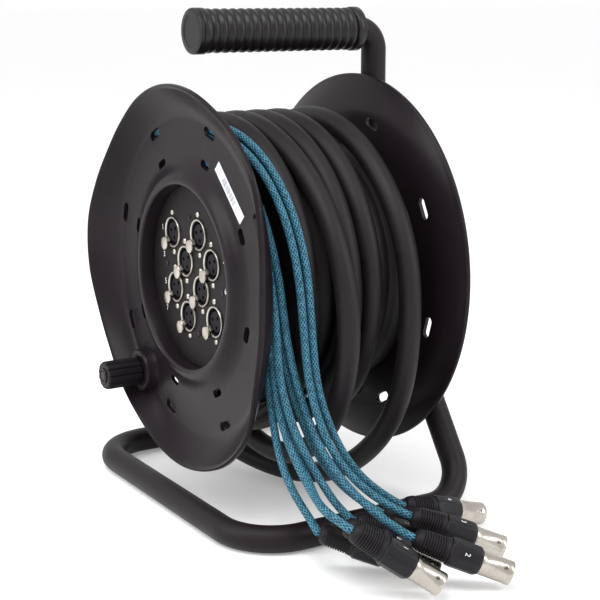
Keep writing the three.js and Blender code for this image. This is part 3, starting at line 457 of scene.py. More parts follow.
def apply_modifiers(piece):
    graph = bpy.context.evaluated_depsgraph_get()
    mesh = bpy.data.meshes.new_from_object(piece.evaluated_get(graph))
    piece.modifiers.clear()
    piece.data = mesh
    return piece


def cut(piece, tools, operation="DIFFERENCE", sharp_degrees=38):
    """Cuts tools out of a piece, or joins them to it, and removes the tools."""
    for tool in tools:
        modifier = piece.modifiers.new("cut", "BOOLEAN")
        modifier.operation = operation
        modifier.solver = "EXACT"
        modifier.object = tool
    apply_modifiers(piece)
    for tool in tools:
        bpy.data.objects.remove(tool)
    for face in piece.data.polygons:
        face.use_smooth = True
    piece.data.set_sharp_from_angle(angle=math.radians(sharp_degrees))
    return piece


def joined(name, parts):
    """Several meshes as one piece, each keeping its own material."""
    bm = bmesh.new()
    materials = []
    for part in parts:
        index = len(materials)
        for material in part.data.materials:
            materials.append(material)
        first = len(bm.faces)
        bm.from_mesh(part.data)
        bm.faces.ensure_lookup_table()
        for face in bm.faces[first:]:
            face.material_index += index
    mesh = bpy.data.meshes.new(name)
    bm.to_mesh(mesh)
    bm.free()
    for material in materials:
        mesh.materials.append(material)
    for part in parts:
        bpy.data.objects.remove(part)
    made = bpy.data.objects.new(name, mesh)
    bpy.context.scene.collection.objects.link(made)
    return made


def along(direction, place):
    """A matrix that sets a piece turned about Y along a direction from a place."""
    turn = Vector((0, 1, 0)).rotation_difference(direction).to_matrix().to_4x4()
    return Matrix.Translation(place) @ turn


def place(piece, body, *nodes):
    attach(piece, body)
    if nodes:
        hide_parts(*nodes)
    return piece


# Cord routes, repeated from the part
def spline(points, steps):
    """The centripetal curve through the points, in small steps."""
    line = []
    last = len(points) - 1
    for i in range(last):
        p1, p2 = points[i], points[i + 1]
        p0 = points[i - 1] if i else p1 * 2 - p2
        p3 = points[i + 2] if i < last - 1 else p2 * 2 - p1
        t0 = 0.0
        t1 = t0 + (p1 - p0).length ** 0.5
        t2 = t1 + (p2 - p1).length ** 0.5
        t3 = t2 + (p3 - p2).length ** 0.5
        for k in range(steps):
            t = t1 + (t2 - t1) * k / steps
            a1 = p0 * ((t1 - t) / (t1 - t0)) + p1 * ((t - t0) / (t1 - t0))
            a2 = p1 * ((t2 - t) / (t2 - t1)) + p2 * ((t - t1) / (t2 - t1))
            a3 = p2 * ((t3 - t) / (t3 - t2)) + p3 * ((t - t2) / (t3 - t2))
            b1 = a1 * ((t2 - t) / (t2 - t0)) + a2 * ((t - t0) / (t2 - t0))
            b2 = a2 * ((t3 - t) / (t3 - t1)) + a3 * ((t - t1) / (t3 - t1))
            line.append(b1 * ((t2 - t) / (t2 - t1)) + b2 * ((t - t1) / (t2 - t1)))
    line.append(points[-1])
    return line


EASE_STEP = 0.002
EASE_PASSES = 80
HELD_STEPS = 2


def relaxed(line):
    """The same route as a limp lead settles: even steps, each corner eased, both ends held straight."""
    total = path_length(line)
    count = int(total / EASE_STEP)
    even, walked, at = [line[0].copy()], 0.0, 0
    for k in range(1, count):
        target = total * k / count
        while walked + (line[at + 1] - line[at]).length < target:
            walked += (line[at + 1] - line[at]).length
            at += 1
        even.append(line[at].lerp(line[at + 1], (target - walked) / (line[at + 1] - line[at]).length))
    even.append(line[-1].copy())
    for _ in range(EASE_PASSES):
        inner = [
            even[i] * 0.5 + (even[i - 1] + even[i + 1]) * 0.25
            for i in range(HELD_STEPS, len(even) - HELD_STEPS)
        ]
        even = even[:HELD_STEPS] + inner + even[-HELD_STEPS:]
    return even


def path_length(line):
    return sum((b - a).length for a, b in zip(line, line[1:]))


BOOT_LENGTH = 0.052
BOOT_BASE = around_axle(632, 0.140, -0.050)
BOOT_DIRECTION = Vector((0.04, 0, 1)).normalized()
TAIL_ROUTE = [
    (150, 0.1046, 0.051), (165, 0.1046, 0.0505), (180, 0.105, 0.050), (196, 0.107, 0.0495),
    (212, 0.1115, 0.049), (228, 0.1158, 0.0485), (250, 0.1176, 0.048), (280, 0.1176, 0.047),
    (310, 0.1176, 0.046), (340, 0.1178, 0.0455), (365, 0.118, 0.045), (388, 0.1195, 0.0445),
    (408, 0.123, 0.044), (426, 0.128, 0.044), (442, 0.133, 0.0435), (455, 0.1365, 0.0425),
    (468, 0.142, 0.042), (480, 0.1495, 0.041), (492, 0.156, 0.039), (504, 0.1605, 0.0365),
    (517, 0.1655, 0.032), (531, 0.1696, 0.025), (543, 0.171, 0.015), (555, 0.171, 0.002),
    (567, 0.1706, -0.012), (578, 0.1686, -0.026), (588, 0.163, -0.036), (599, 0.154, -0.043),
    (611, 0.146, -0.047),
]
tail_points = [around_axle(*p) for p in TAIL_ROUTE]
tail_points.append(BOOT_BASE - BOOT_DIRECTION * 2 * CABLE_RADIUS)
tail_line = relaxed(spline(tail_points, 6) + [BOOT_BASE - BOOT_DIRECTION * SEAT_GAP])
tail_line = [AXLE + p for p in tail_line]
tail = swept("multicore_tail_jacket", tail_line, CABLE_RADIUS, 28, jacket)
place(tail, "stand", "multicore_tail")

BOOT_PROFILE = [
    (0, 0), (0.0104, 0), (0.0108, 0.0006), (0.0122, 0.011), (0.0124, 0.014), (0.0124, 0.038), (0.0121, 0.041),
    (0.0118, 0.0512), (0.0112, BOOT_LENGTH), (0, BOOT_LENGTH),
]
boot_frame = CORD_FRAME @ along(BOOT_DIRECTION, BOOT_BASE)
boot = turned("lead_breakout_boot", BOOT_PROFILE, 40, rubber, boot_frame)
place(boot, "stand", "breakout_boot")

# Plugs and leads. A plug: the start of its boot from the axle, in metres, then its yaw and tilt in degrees.
PLUGS = [
    ((0.2242, -0.0666, -0.1318), 57.5, -32.6),
    ((0.2333, -0.0225, -0.1433), 59.1, -21.4),
    ((0.198, 0.0008, -0.1439), 62.9, -21.2),
    ((0.1584, 0.0239, -0.1533), 86.3, -15.1),
    ((0.1778, -0.0616, -0.15), 55.3, -18.1),
    ((0.1656, -0.0001, -0.1522), 67, -16.1),
    ((0.178, -0.0329, -0.1473), 72.2, -20.5),
    ((0.2049, -0.059, -0.1362), 60.3, -28.8),
]
# A lead: the side of the boot where it leaves, in degrees, its way over the drum as (degrees, radius, y), and
# its way down to the plug as points from the axle
LEADS = [
    (257,
     [(-58, 0.143, -0.0596), (-36, 0.12, -0.0612), (-18, 0.1048, -0.0616), (0, 0.1003, -0.0616),
      (20, 0.1003, -0.0616), (42, 0.1003, -0.0616), (64, 0.1018, -0.0616), (84, 0.1062, -0.0616)],
     [(0.112, -0.0616, -0.019), (0.116, -0.0614, -0.054), (0.121, -0.0604, -0.08),
      (0.128, -0.058, -0.099), (0.14, -0.057, -0.113), (0.161, -0.061, -0.1215),
      (0.186, -0.069, -0.124), (0.207, -0.0755, -0.1235)]),
    (103,
     [(-58, 0.149, -0.0484), (-36, 0.1284, -0.0544), (-18, 0.1124, -0.0554), (0, 0.1076, -0.0554),
      (20, 0.1076, -0.0554), (42, 0.1076, -0.0554), (64, 0.1092, -0.0553), (84, 0.114, -0.0549)],
     [(0.1195, -0.0537, -0.023), (0.1225, -0.0497, -0.0492), (0.128, -0.0448, -0.0737),
      (0.138, -0.0401, -0.0978), (0.156, -0.0356, -0.1172), (0.181, -0.0328, -0.1293),
      (0.207, -0.029, -0.1377), (0.225, -0.026, -0.142)]),
    (154,
     [(-58, 0.1555, -0.046), (-47, 0.149, -0.0515), (-36, 0.137, -0.0573), (-18, 0.1196, -0.0612),
      (0, 0.1162, -0.0614), (18, 0.1185, -0.061), (32, 0.1245, -0.0592), (46, 0.1292, -0.0562),
      (62, 0.1304, -0.0522), (80, 0.1302, -0.049)],
     [(0.1305, -0.0455, -0.0218), (0.133, -0.0429, -0.058), (0.139, -0.0366, -0.0885),
      (0.149, -0.0285, -0.1131), (0.164, -0.0188, -0.1291), (0.181, -0.0107, -0.1377),
      (0.193, -0.0046, -0.1417)]),
    (51,
     [(-58, 0.1395, -0.043), (-36, 0.1344, -0.049), (-18, 0.1204, -0.055), (0, 0.1176, -0.0554),
      (16, 0.1215, -0.0551), (29, 0.1276, -0.0539), (42, 0.1306, -0.0504), (58, 0.1306, -0.0456),
      (76, 0.1302, -0.042)],
     [(0.1305, -0.0385, -0.0227), (0.1325, -0.0359, -0.0592), (0.1365, -0.0264, -0.0931),
      (0.1425, -0.013, -0.1208), (0.1485, 0.0024, -0.1387), (0.1535, 0.0141, -0.1478)]),
    (309,
     [(-58, 0.136, -0.0578), (-36, 0.1125, -0.061), (-18, 0.0975, -0.0616), (0, 0.093, -0.0616),
      (20, 0.093, -0.0616), (42, 0.093, -0.0616), (64, 0.0945, -0.0616), (84, 0.099, -0.0616)],
     [(0.1046, -0.0616, -0.0206), (0.107, -0.0616, -0.0498), (0.112, -0.0616, -0.0787),
      (0.119, -0.0616, -0.1014), (0.127, -0.0616, -0.1177), (0.139, -0.0616, -0.1304),
      (0.155, -0.0616, -0.14), (0.17, -0.0616, -0.1463)]),
    (None,
     [(-58, 0.1429, -0.0529), (-36, 0.1202, -0.0548), (-18, 0.1048, -0.0554), (0, 0.1003, -0.0554),
      (20, 0.1003, -0.0554), (42, 0.1003, -0.0554), (64, 0.1018, -0.0554), (84, 0.1064, -0.0552)],
     [(0.1125, -0.0552, -0.0243), (0.115, -0.0502, -0.0538), (0.119, -0.0443, -0.0783),
      (0.125, -0.0378, -0.101), (0.133, -0.0292, -0.1214), (0.144, -0.019, -0.1375),
      (0.156, -0.0088, -0.1464)]),
    (206,
     [(-58, 0.1508, -0.057), (-36, 0.1278, -0.061), (-18, 0.1121, -0.0616), (0, 0.1076, -0.0616),
      (20, 0.1076, -0.0616), (42, 0.1076, -0.0616), (64, 0.1091, -0.0616), (84, 0.1135, -0.0613)],
     [(0.1195, -0.0616, -0.0192), (0.123, -0.0616, -0.0517), (0.128, -0.0573, -0.0776),
      (0.135, -0.0525, -0.098), (0.145, -0.0466, -0.1165), (0.158, -0.0426, -0.1315),
      (0.169, -0.0405, -0.141)]),
    (0,
     [(-58, 0.136, -0.0508), (-36, 0.1125, -0.0544), (-18, 0.0975, -0.0553), (0, 0.093, -0.0554),
      (20, 0.093, -0.0554), (42, 0.093, -0.0554), (64, 0.0945, -0.0554), (84, 0.0992, -0.0555)],
     [(0.106, -0.0554, -0.023), (0.11, -0.055, -0.056), (0.116, -0.053, -0.081),
      (0.124, -0.05, -0.102), (0.136, -0.05, -0.1165), (0.157, -0.0542, -0.1295),
      (0.18, -0.061, -0.1345), (0.193, -0.0616, -0.134)]),
]
EXIT_ORBIT = 0.0082
EXIT_STAGGER = 0.7
PLUG_BOOT = 0.024
BODY_END = PLUG_BOOT + 0.023
SHELL_END = BODY_END + 0.023
SHELL_RADIUS = 0.0084
SHELL_BORE = SHELL_RADIUS - 0.0011
SHELL_WAIST = SHELL_RADIUS - 0.00015
HOUSING_RADIUS = 0.0103
HOUSING_FLAT = HOUSING_RADIUS * math.cos(math.pi / 8)
FLAT_DEGREES = 45
FIRST_PIN_DEGREES = 49

boot_top = BOOT_BASE + BOOT_DIRECTION * (BOOT_LENGTH + SEAT_GAP)

PLUG_RIBS = 9
PLUG_RIBS_START, PLUG_RIBS_END = 0.0048, 0.0212
PLUG_RIB_RADIUS, PLUG_RIB_GROWTH, PLUG_RIB_DEPTH = 0.0078, 0.0007, 0.0009
# The housing's stations: y, radius, and how far its round is drawn into eight flats
HOUSING_STATIONS = [
    (PLUG_BOOT + SEAT_GAP, 0.0089, 0.0), (PLUG_BOOT + 0.0008, 0.0096, 0.2), (PLUG_BOOT + 0.0022, 0.0102, 0.8),
    (PLUG_BOOT + 0.0036, HOUSING_RADIUS, 1.0), (BODY_END - 0.0030, HOUSING_RADIUS, 1.0),
    (BODY_END - 0.0014, 0.0100, 0.85), (BODY_END - 0.0003, 0.0091, 0.3), (BODY_END, 0.0086, 0.1),
]
HOUSING_SIDES = 64
CORNER_ROUND = 0.985
PAD_START = PLUG_BOOT + 0.0045
PAD_END = PAD_START + 0.0130
PAD_HALF_WIDTH, PAD_RISE, PAD_SINK = 0.0030, 0.00035, 0.0004
SHELL_PROFILE = [
    (SHELL_BORE, BODY_END + SEAT_GAP), (SHELL_RADIUS, BODY_END + SEAT_GAP), (SHELL_RADIUS, BODY_END + 0.0030),
    (SHELL_WAIST, BODY_END + 0.0032), (SHELL_WAIST, SHELL_END - 0.0035), (SHELL_RADIUS, SHELL_END - 0.0030),
    (SHELL_RADIUS, SHELL_END - 0.0004), (SHELL_RADIUS - 0.0003, SHELL_END), (SHELL_BORE, SHELL_END),
    (SHELL_BORE, BODY_END + SEAT_GAP),
]
WINDOW_DEGREES, WINDOW_Y, WINDOW_RADIUS = 62, SHELL_END - 0.0062, 0.0015
WINDOW_PROFILE = [
    (0, SHELL_RADIUS - 0.003), (WINDOW_RADIUS, SHELL_RADIUS - 0.003), (WINDOW_RADIUS, SHELL_RADIUS + 0.002),
    (0, SHELL_RADIUS + 0.002),
]
PIN_FLOOR_Y = SHELL_END - 0.015
PIN_FLOOR_PROFILE = [
    (0, BODY_END + SEAT_GAP), (SHELL_BORE - 0.0001, BODY_END + SEAT_GAP), (SHELL_BORE - 0.0001, PIN_FLOOR_Y),
    (0, PIN_FLOOR_Y),
]
PIN_ORBIT = 0.0038
PIN_PROFILE = [
    (0.0012, PIN_FLOOR_Y - 0.001), (0.0012, SHELL_END - 0.0032), (0.0008, SHELL_END - 0.0024),
    (0, SHELL_END - 0.0022),
]
PLUG_NUMBER_SIZE, PLUG_NUMBER_Y, PLUG_NUMBER_LIFT = 0.0052, BODY_END - 0.0115, 0.00045


def plug_axis(number):
    at, yaw, tilt = PLUGS[number]
    yaw, tilt = math.radians(yaw), math.radians(tilt)
    direction = Vector((math.cos(yaw) * math.cos(tilt), math.sin(yaw) * math.cos(tilt), math.sin(tilt)))
    return Vector(at), direction


def plug_boot():
    """The ribbed boot: a round nose, nine thin ribs that grow towards the housing, and a collar."""
    profile = [(0, 0), (0.0050, 0), (0.0055, 0.0004), (0.0066, 0.0018), (0.0072, 0.0034), (0.0074, 0.0046)]
    pitch = (PLUG_RIBS_END - PLUG_RIBS_START) / PLUG_RIBS
    for i in range(PLUG_RIBS):
        y = PLUG_RIBS_START + i * pitch
        top = PLUG_RIB_RADIUS + PLUG_RIB_GROWTH * i / (PLUG_RIBS - 1)
        low = top - PLUG_RIB_DEPTH
        profile += [(low, y), (low, y + pitch * 0.34), (top, y + pitch * 0.5), (top, y + pitch * 0.9)]
    collar = [(0.0080, PLUG_RIBS_END), (0.0086, PLUG_RIBS_END + 0.0006), (0.0088, PLUG_BOOT), (0, PLUG_BOOT)]
    return profile + collar


def housing_mesh(name, matrix):
    """An eight-sided housing: its flats blend from a round collar and taper at the nose."""
    points = []
    for y, radius, flatness in HOUSING_STATIONS:
        for i in range(HOUSING_SIDES):
            a = 2 * math.pi * i / HOUSING_SIDES
            into = (a % (math.pi / 4)) - math.pi / 8
            flat = math.cos(math.pi / 8) / math.cos(into)
            r = radius * (1 - flatness + flatness * min(flat, CORNER_ROUND) / CORNER_ROUND)
            points.append(on_circle(a, r, y))
    faces = ring_faces(len(HOUSING_STATIONS), HOUSING_SIDES)
    faces.append(tuple(range(HOUSING_SIDES)))
    faces.append(tuple(len(points) - HOUSING_SIDES + i for i in range(HOUSING_SIDES))[::-1])
    return mesh_piece(name, points, faces, housing, matrix, 16)


def thumb_pad(name, degrees, matrix):
    """A shallow raised pad with a round end on one flat of the housing."""
    flat = HOUSING_FLAT + 0.00005
    outline = []
    for k in range(13):
        a = math.pi / 2 + math.pi * k / 12
        y = PAD_START + PAD_HALF_WIDTH + PAD_HALF_WIDTH * math.cos(a)
        outline.append((PAD_HALF_WIDTH * math.sin(a), y))
    outline += [(-PAD_HALF_WIDTH, PAD_END), (PAD_HALF_WIDTH, PAD_END)]
    points = [Vector((x, y, flat - PAD_SINK)) for x, y in outline]
    points += [Vector((x * 0.9, y, flat + PAD_RISE)) for x, y in outline]
    return mesh_piece(name, points, prism_faces(len(outline)), housing, matrix @ spun(degrees), 30)


def digit(name, text, size, matrix, material, body):
    """A printed number as a thin mesh lying in its own XZ plane, facing -Y before the matrix."""
    data = bpy.data.curves.new(name, "FONT")
    data.body = text
    data.size = size
    data.align_x = "CENTER"
    data.align_y = "CENTER"
    data.extrude = 0.00004
    data.resolution_u = 3
    letters = bpy.data.objects.new(name + "_source", data)
    bpy.context.scene.collection.objects.link(letters)
    bpy.context.view_layer.update()
    mesh = bpy.data.meshes.new_from_object(letters.evaluated_get(bpy.context.evaluated_depsgraph_get()))
    bpy.data.objects.remove(letters)
    mesh.transform(matrix @ Matrix.Rotation(math.pi / 2, 4, "X"))
    made = finish_mesh(name, mesh, material)
    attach(made, body)
    return made


def plug_metal(tag, lying):
    """The shell with its round window, and the three pins on their floor."""
    shell = turned(f"plug_shell_tube_{tag}", SHELL_PROFILE, 64, nickel, lying)
    window = lying @ spun(WINDOW_DEGREES) @ moved(0, WINDOW_Y, 0) @ Matrix.Rotation(math.pi / 2, 4, "X")
    cut(shell, [turned("window", WINDOW_PROFILE, 24, nickel, window)])
    place(shell, "stand", f"plug_shell_{tag}")
    inside = [turned("pin_floor", PIN_FLOOR_PROFILE, 32, insert_plastic, lying)]
    for k in range(3):
        turn = lying @ spun(FIRST_PIN_DEGREES + 120 * k) @ moved(0, 0, PIN_ORBIT)
        inside.append(turned("pin", PIN_PROFILE, 14, nickel, turn))
    return shell, place(joined(f"plug_pins_{tag}", inside), "stand")


def lead_line(number, start, direction):
    """A lead's way from the boot over the drum and down to its plug."""
    exit_degrees, over, down = LEADS[number]
    mouth = boot_top.copy()
    if exit_degrees is not None:
        a = math.radians(exit_degrees)
        mouth += Vector((math.cos(a), math.sin(a), 0)) * EXIT_ORBIT
    outward = boot_top.x + EXIT_ORBIT - mouth.x
    points = [mouth + BOOT_DIRECTION * (2 * LEAD_RADIUS + outward * EXIT_STAGGER)]
    points += [around_axle(*p) for p in over] + [Vector(p) for p in down]
    points.append(start - direction * 2 * LEAD_RADIUS)
    line = relaxed([mouth] + spline(points, 9) + [start - direction * SEAT_GAP])
    return [AXLE + p for p in line]


DIGIT_ANGLES = [32, 62, 40, 0, 0, 0, 0, 0]
for number in range(8):
    tag = number + 1
    start, direction = plug_axis(number)
    lying = CORD_FRAME @ along(direction, start)
    boot_piece = turned(f"plug_boot_{tag}", plug_boot(), 40, rubber, lying, sharp_degrees=50)
    body_piece = housing_mesh(f"plug_housing_{tag}", lying)
    place(boot_piece, "stand")
    place(body_piece, "stand", f"plug_body_{tag}")
    pads = [thumb_pad(f"plug_pad_{tag}_{k}", FLAT_DEGREES / 2 + 90 * k, lying) for k in range(4)]
    pad_piece = place(joined(f"plug_pads_{tag}", pads), "stand")
    shell, pins = plug_metal(tag, lying)
    flat_number = round((DIGIT_ANGLES[number] - FLAT_DEGREES / 2) / FLAT_DEGREES)
    lettering = lying @ spun(FLAT_DEGREES / 2 + FLAT_DEGREES * flat_number)
    lettering = lettering @ moved(0, PLUG_NUMBER_Y, HOUSING_FLAT + PLUG_NUMBER_LIFT)
    lettering = lettering @ Matrix.Rotation(-math.pi / 2, 4, "X")
    mark = digit(f"plug_number_{tag}", str(tag), PLUG_NUMBER_SIZE, lettering, white_ink, "stand")
    line = lead_line(number, start, direction)
    lead = swept(f"braided_lead_{tag}", line, LEAD_RADIUS, 16, braid)
    place(lead, "stand", f"lead_{tag}")

# Wound cable: where the outer layer starts, how it steps along, its slack loop and the dip of its first turn
WOUND_RADIUS = 0.1165
WOUND_FROM, WOUND_DEGREES, WOUND_STEP = 275, 1320, 5
WOUND_START_Y, WOUND_PITCH = -0.0424, 0.0184
SLACK_AT, SLACK_SPREAD, SLACK = 855, 120, 0.033
DIP_SPREAD, DIP = 45, 0.0120


def winding_place(turned_degrees):
    angle = WOUND_FROM + turned_degrees
    y = WOUND_START_Y + WOUND_PITCH * turned_degrees / 360
    off = abs(angle - SLACK_AT) / SLACK_SPREAD
    slack = SLACK * math.cos(off * math.pi / 2) ** 2 if off < 1 else 0.0
    dip = DIP * max(0.0, 1 - turned_degrees / DIP_SPREAD) ** 2
    return around_axle(angle, WOUND_RADIUS + slack - dip, y)


winding_line = [winding_place(a) for a in range(0, WOUND_DEGREES + 1, WOUND_STEP)]
into_core = (winding_place(0) - winding_place(3 * WOUND_STEP)).normalized()
winding_line = [AXLE + p for p in [winding_line[0] + into_core * 2 * CABLE_RADIUS] + winding_line]
winding = swept("multicore_outer_turns", winding_line, CABLE_RADIUS, 28, jacket)
place(winding, "drum", "multicore_winding")

LAYER_BORE = 0.0803
GROOVE_END_Y, FAR_BAND_Y = -0.033, 0.0352
GROOVE_TOP, MIDDLE_TOP, FAR_TOP = 0.0882, 0.1055, 0.0954
RIDGE_STEPS = 9
RIDGE_DEPTH = 0.8


def layer_profile():
    """The turns under the outer layer, as ridges no higher than the CAD core."""
    low, high = (corner[1] - shift_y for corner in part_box("inner_layers"))
    profile = [(LAYER_BORE, low)]
    bands = [
        (low, GROOVE_END_Y, GROOVE_TOP), (GROOVE_END_Y, FAR_BAND_Y, MIDDLE_TOP),
        (FAR_BAND_Y, high, FAR_TOP),
    ]
    for start, end, top in bands:
        turns = max(1, round((end - start) / (2 * CABLE_RADIUS)))
        pitch = (end - start) / turns
        for i in range(turns):
            for k in range(RIDGE_STEPS):
                share = (k + 0.5) / RIDGE_STEPS
                rise = math.sqrt(max(0.0, 1 - (2 * share - 1) ** 2))
                profile.append((top - CABLE_RADIUS * (1 - rise) * RIDGE_DEPTH, start + (i + share) * pitch))
    return profile + [(LAYER_BORE, high), (LAYER_BORE, low)]


layers = turned("multicore_inner_turns", layer_profile(), 128, jacket, CORD_FRAME, sharp_degrees=70)
place(layers, "drum", "inner_layers")


# Stand
def bent_path(corners):
    """A line through (corner, bend radius) pairs, with an arc in steps of about 5 degrees at each corner."""
    stations = [Vector(corners[0][0])]
    for i in range(1, len(corners) - 1):
        at, bend = Vector(corners[i][0]), corners[i][1]
        back = (Vector(corners[i - 1][0]) - at).normalized()
        on = (Vector(corners[i + 1][0]) - at).normalized()
        half = back.angle(on) / 2
        centre = at + (back + on).normalized() * (bend / math.sin(half))
        first = at + back * (bend / math.tan(half)) - centre
        last = at + on * (bend / math.tan(half)) - centre
        swing = first.angle(last)
        steps = max(4, round(math.degrees(swing) / 5))
        for k in range(steps + 1):
            share = k / steps
            stations.append(
                centre + first * (math.sin((1 - share) * swing) / math.sin(swing))
                + last * (math.sin(share * swing) / math.sin(swing)))
    stations.append(Vector(corners[-1][0]))
    return stations


APEX_BEND, FOOT_BEND, CORNER_BEND = 0.070, 0.034, 0.042
TUBE_PRESSED_FLAT = 0.0003
tube_z = TUBE_RADIUS - TUBE_PRESSED_FLAT
grip_z = AXLE_HEIGHT + GRIP_HEIGHT
apex = Vector((0, UPRIGHT_Y, AXLE_HEIGHT + APEX_HEIGHT))
left_foot = Vector((-STAND_HALF, UPRIGHT_Y, tube_z))
left_top = apex + (left_foot - apex).normalized() * WELD_LEG_GAP
grip_start = UPRIGHT_Y - GRIP_BEND - GRIP_LENGTH - GRIP_CAP - 2 * SEAT_GAP
tube_line = bent_path([
    ((0, grip_start + GRIP_CAP, grip_z), 0),
    ((0, UPRIGHT_Y, grip_z), GRIP_BEND),
    (apex, APEX_BEND),
    ((STAND_HALF, UPRIGHT_Y, tube_z), FOOT_BEND),
    ((STAND_HALF, FRONT_RUN_Y, tube_z), CORNER_BEND),
    ((-STAND_HALF, FRONT_RUN_Y, tube_z), CORNER_BEND),
    (left_foot, FOOT_BEND),
    (left_top, 0),
])
tube = swept("stand_tube", [STAND_FRAME @ p for p in tube_line], TUBE_RADIUS, 40, paint, floor=0.0)
place(tube, "stand", "frame_tube")

GRIP_RIBS = 18
GRIP_COLLAR = 0.007
GRIP_BORE, GRIP_VALLEY, GRIP_EDGE, GRIP_OUTSIDE = 0.0106, 0.0139, 0.0166, 0.0172
GRIP_RIB_HEIGHT = 0.0027
RIB_STEPS = 8
RIB_FULLNESS = 0.6


def grip_profile():
    """A plain collar at each end, and between them full ribs with narrow valleys."""
    profile = [
        (GRIP_BORE, 0), (GRIP_EDGE, 0), (GRIP_OUTSIDE, 0.0006), (GRIP_OUTSIDE, GRIP_COLLAR - 0.0012),
        (GRIP_EDGE, GRIP_COLLAR),
    ]
    pitch = (GRIP_LENGTH - 2 * GRIP_COLLAR) / GRIP_RIBS
    for i in range(GRIP_RIBS):
        for k in range(RIB_STEPS):
            share = (k + 0.5) / RIB_STEPS
            rise = math.sin(math.pi * share) ** RIB_FULLNESS
            profile.append((GRIP_VALLEY + GRIP_RIB_HEIGHT * rise, GRIP_COLLAR + (i + share) * pitch))
    return profile + [
        (GRIP_EDGE, GRIP_LENGTH - GRIP_COLLAR), (GRIP_OUTSIDE, GRIP_LENGTH - GRIP_COLLAR + 0.0012),
        (GRIP_OUTSIDE, GRIP_LENGTH - 0.0006), (GRIP_EDGE, GRIP_LENGTH), (GRIP_BORE, GRIP_LENGTH),
        (GRIP_BORE, 0),
    ]


GRIP_CAP_PROFILE = [
    (0, 0.0006), (0.0120, 0.0006), (0.0126, 0), (0.0160, 0), (0.0169, 0.0005), (GRIP_OUTSIDE, 0.0014),
    (GRIP_OUTSIDE, 0.0027), (0, 0.0027),
]
grip_frame = STAND_FRAME @ moved(0, grip_start + GRIP_CAP + SEAT_GAP, grip_z)
grip = turned("ribbed_grip", grip_profile(), 72, grip_rubber, grip_frame, sharp_degrees=60)
place(grip, "stand", "handle_grip")
cap = turned("grip_end_disc", GRIP_CAP_PROFILE, 72, grip_rubber, STAND_FRAME @ moved(0, grip_start, grip_z))
place(cap, "stand", "grip_end_cap")

# Flanges. The near rim's radius at every 15 degrees, measured in the photograph.
RIM_OUTLINE = [
    0.1465, 0.1426, 0.138, 0.1368, 0.1345, 0.1385, 0.1474, 0.149, 0.142, 0.137, 0.1383, 0.1432,
    0.1467, 0.1478, 0.1486, 0.1512, 0.1506, 0.1409, 0.1334, 0.133, 0.137, 0.1476, 0.150, 0.1486,
]
RIM_START = 0.120
RIM_LEAN = 0.019
DISH_REACH = 0.0275
DISH_CURVE = 1.7
NEAR_DISH_STEPS, FAR_DISH_STEPS = 14, 12
OUTER_SLOTS, INNER_SLOTS = (0.017, 0.007, 0.1178), (0.013, 0.006, 0.0928)


def outline_radius(angle):
    """The near rim's radius at an angle, a smooth curve through the table's 24 radii."""
    at = (angle / (2 * math.pi) + 0.5) * len(RIM_OUTLINE)
    i = math.floor(at)
    a, b, c, d = (RIM_OUTLINE[(i + n) % len(RIM_OUTLINE)] for n in (-1, 0, 1, 2))
    u = at - i
    return b + u * (c - a + u * (2 * a - 5 * b + 4 * c - d + u * (3 * (b - c) + d - a))) / 2


def rim_shaped(point):
    """Draws the near rim out to its lobes and in to its flats, and leans it a little."""
    r = math.hypot(point.x, point.z)
    if r <= RIM_START:
        return point
    share = (r - RIM_START) / (FLANGE_RADIUS - RIM_START)
    wanted = RIM_START + share * (outline_radius(math.atan2(point.x, point.z)) - RIM_START)
    return Vector((point.x * wanted / r, point.y + share * RIM_LEAN * point.x, point.z * wanted / r))


def dished(steps, reach, y, depth, inwards=False):
    """The dish of a flange from the rim's start outwards, or back inwards."""
    shares = [k / steps for k in range(steps + 1)]
    if inwards:
        shares = [1 - share for share in shares]
    return [(RIM_START + reach * share, y + depth * share ** DISH_CURVE) for share in shares]


def slot_tools(length, width, radius, low, high):
    """Eight round-ended slots at a radius, as one tool that reaches from low to high."""
    end = width / 2
    half = length / 2 - end
    outline = []
    for side, from_degrees in ((half, -90), (-half, 90)):
        angles = [math.radians(from_degrees + 15 * j) for j in range(13)]
        outline += [(side + end * math.cos(a), end * math.sin(a)) for a in angles]
    points = [Vector((x, y, radius + z)) for y in (low, high) for x, z in outline]
    faces = prism_faces(len(outline))
    tools = [mesh_piece(f"slot_{k}", points, faces, plastic, spun(22.5 + 45 * k)) for k in range(8)]
    return joined("slots", tools)


def near_profile():
    """The panel's recess, the collar round it, the sloping web, the dished rim and the inner side."""
    outer = [
        (RECESS_RADIUS, PANEL_BACK_Y), (RECESS_RADIUS, -0.0742), (0.0714, -0.0749), (0.0724, -0.0754),
        (0.0742, -0.0755), (0.0760, -0.0753), (0.0778, -0.0747), (0.0797, -0.0736), (0.0816, -0.0723),
        (0.0836, -0.0710), (0.0858, -0.0698), (0.0882, -0.0689), (0.0910, -0.0682), (0.0940, WEB_Y),
    ]
    outer += dished(NEAR_DISH_STEPS, DISH_REACH, WEB_Y, -0.0170)
    outer += [(0.1486, -0.0853), (0.1496, -0.0847), (0.1500, -0.0836), (0.1500, -0.0815), (0.1494, -0.0808)]
    inner_side = dished(NEAR_DISH_STEPS, DISH_REACH, WEB_Y + FLANGE_WALL, -0.0155, inwards=True)
    inner_side += [(0.0742, WEB_Y + FLANGE_WALL), (0.0740, PANEL_BACK_Y)]
    return outer + inner_side + [outer[0]]


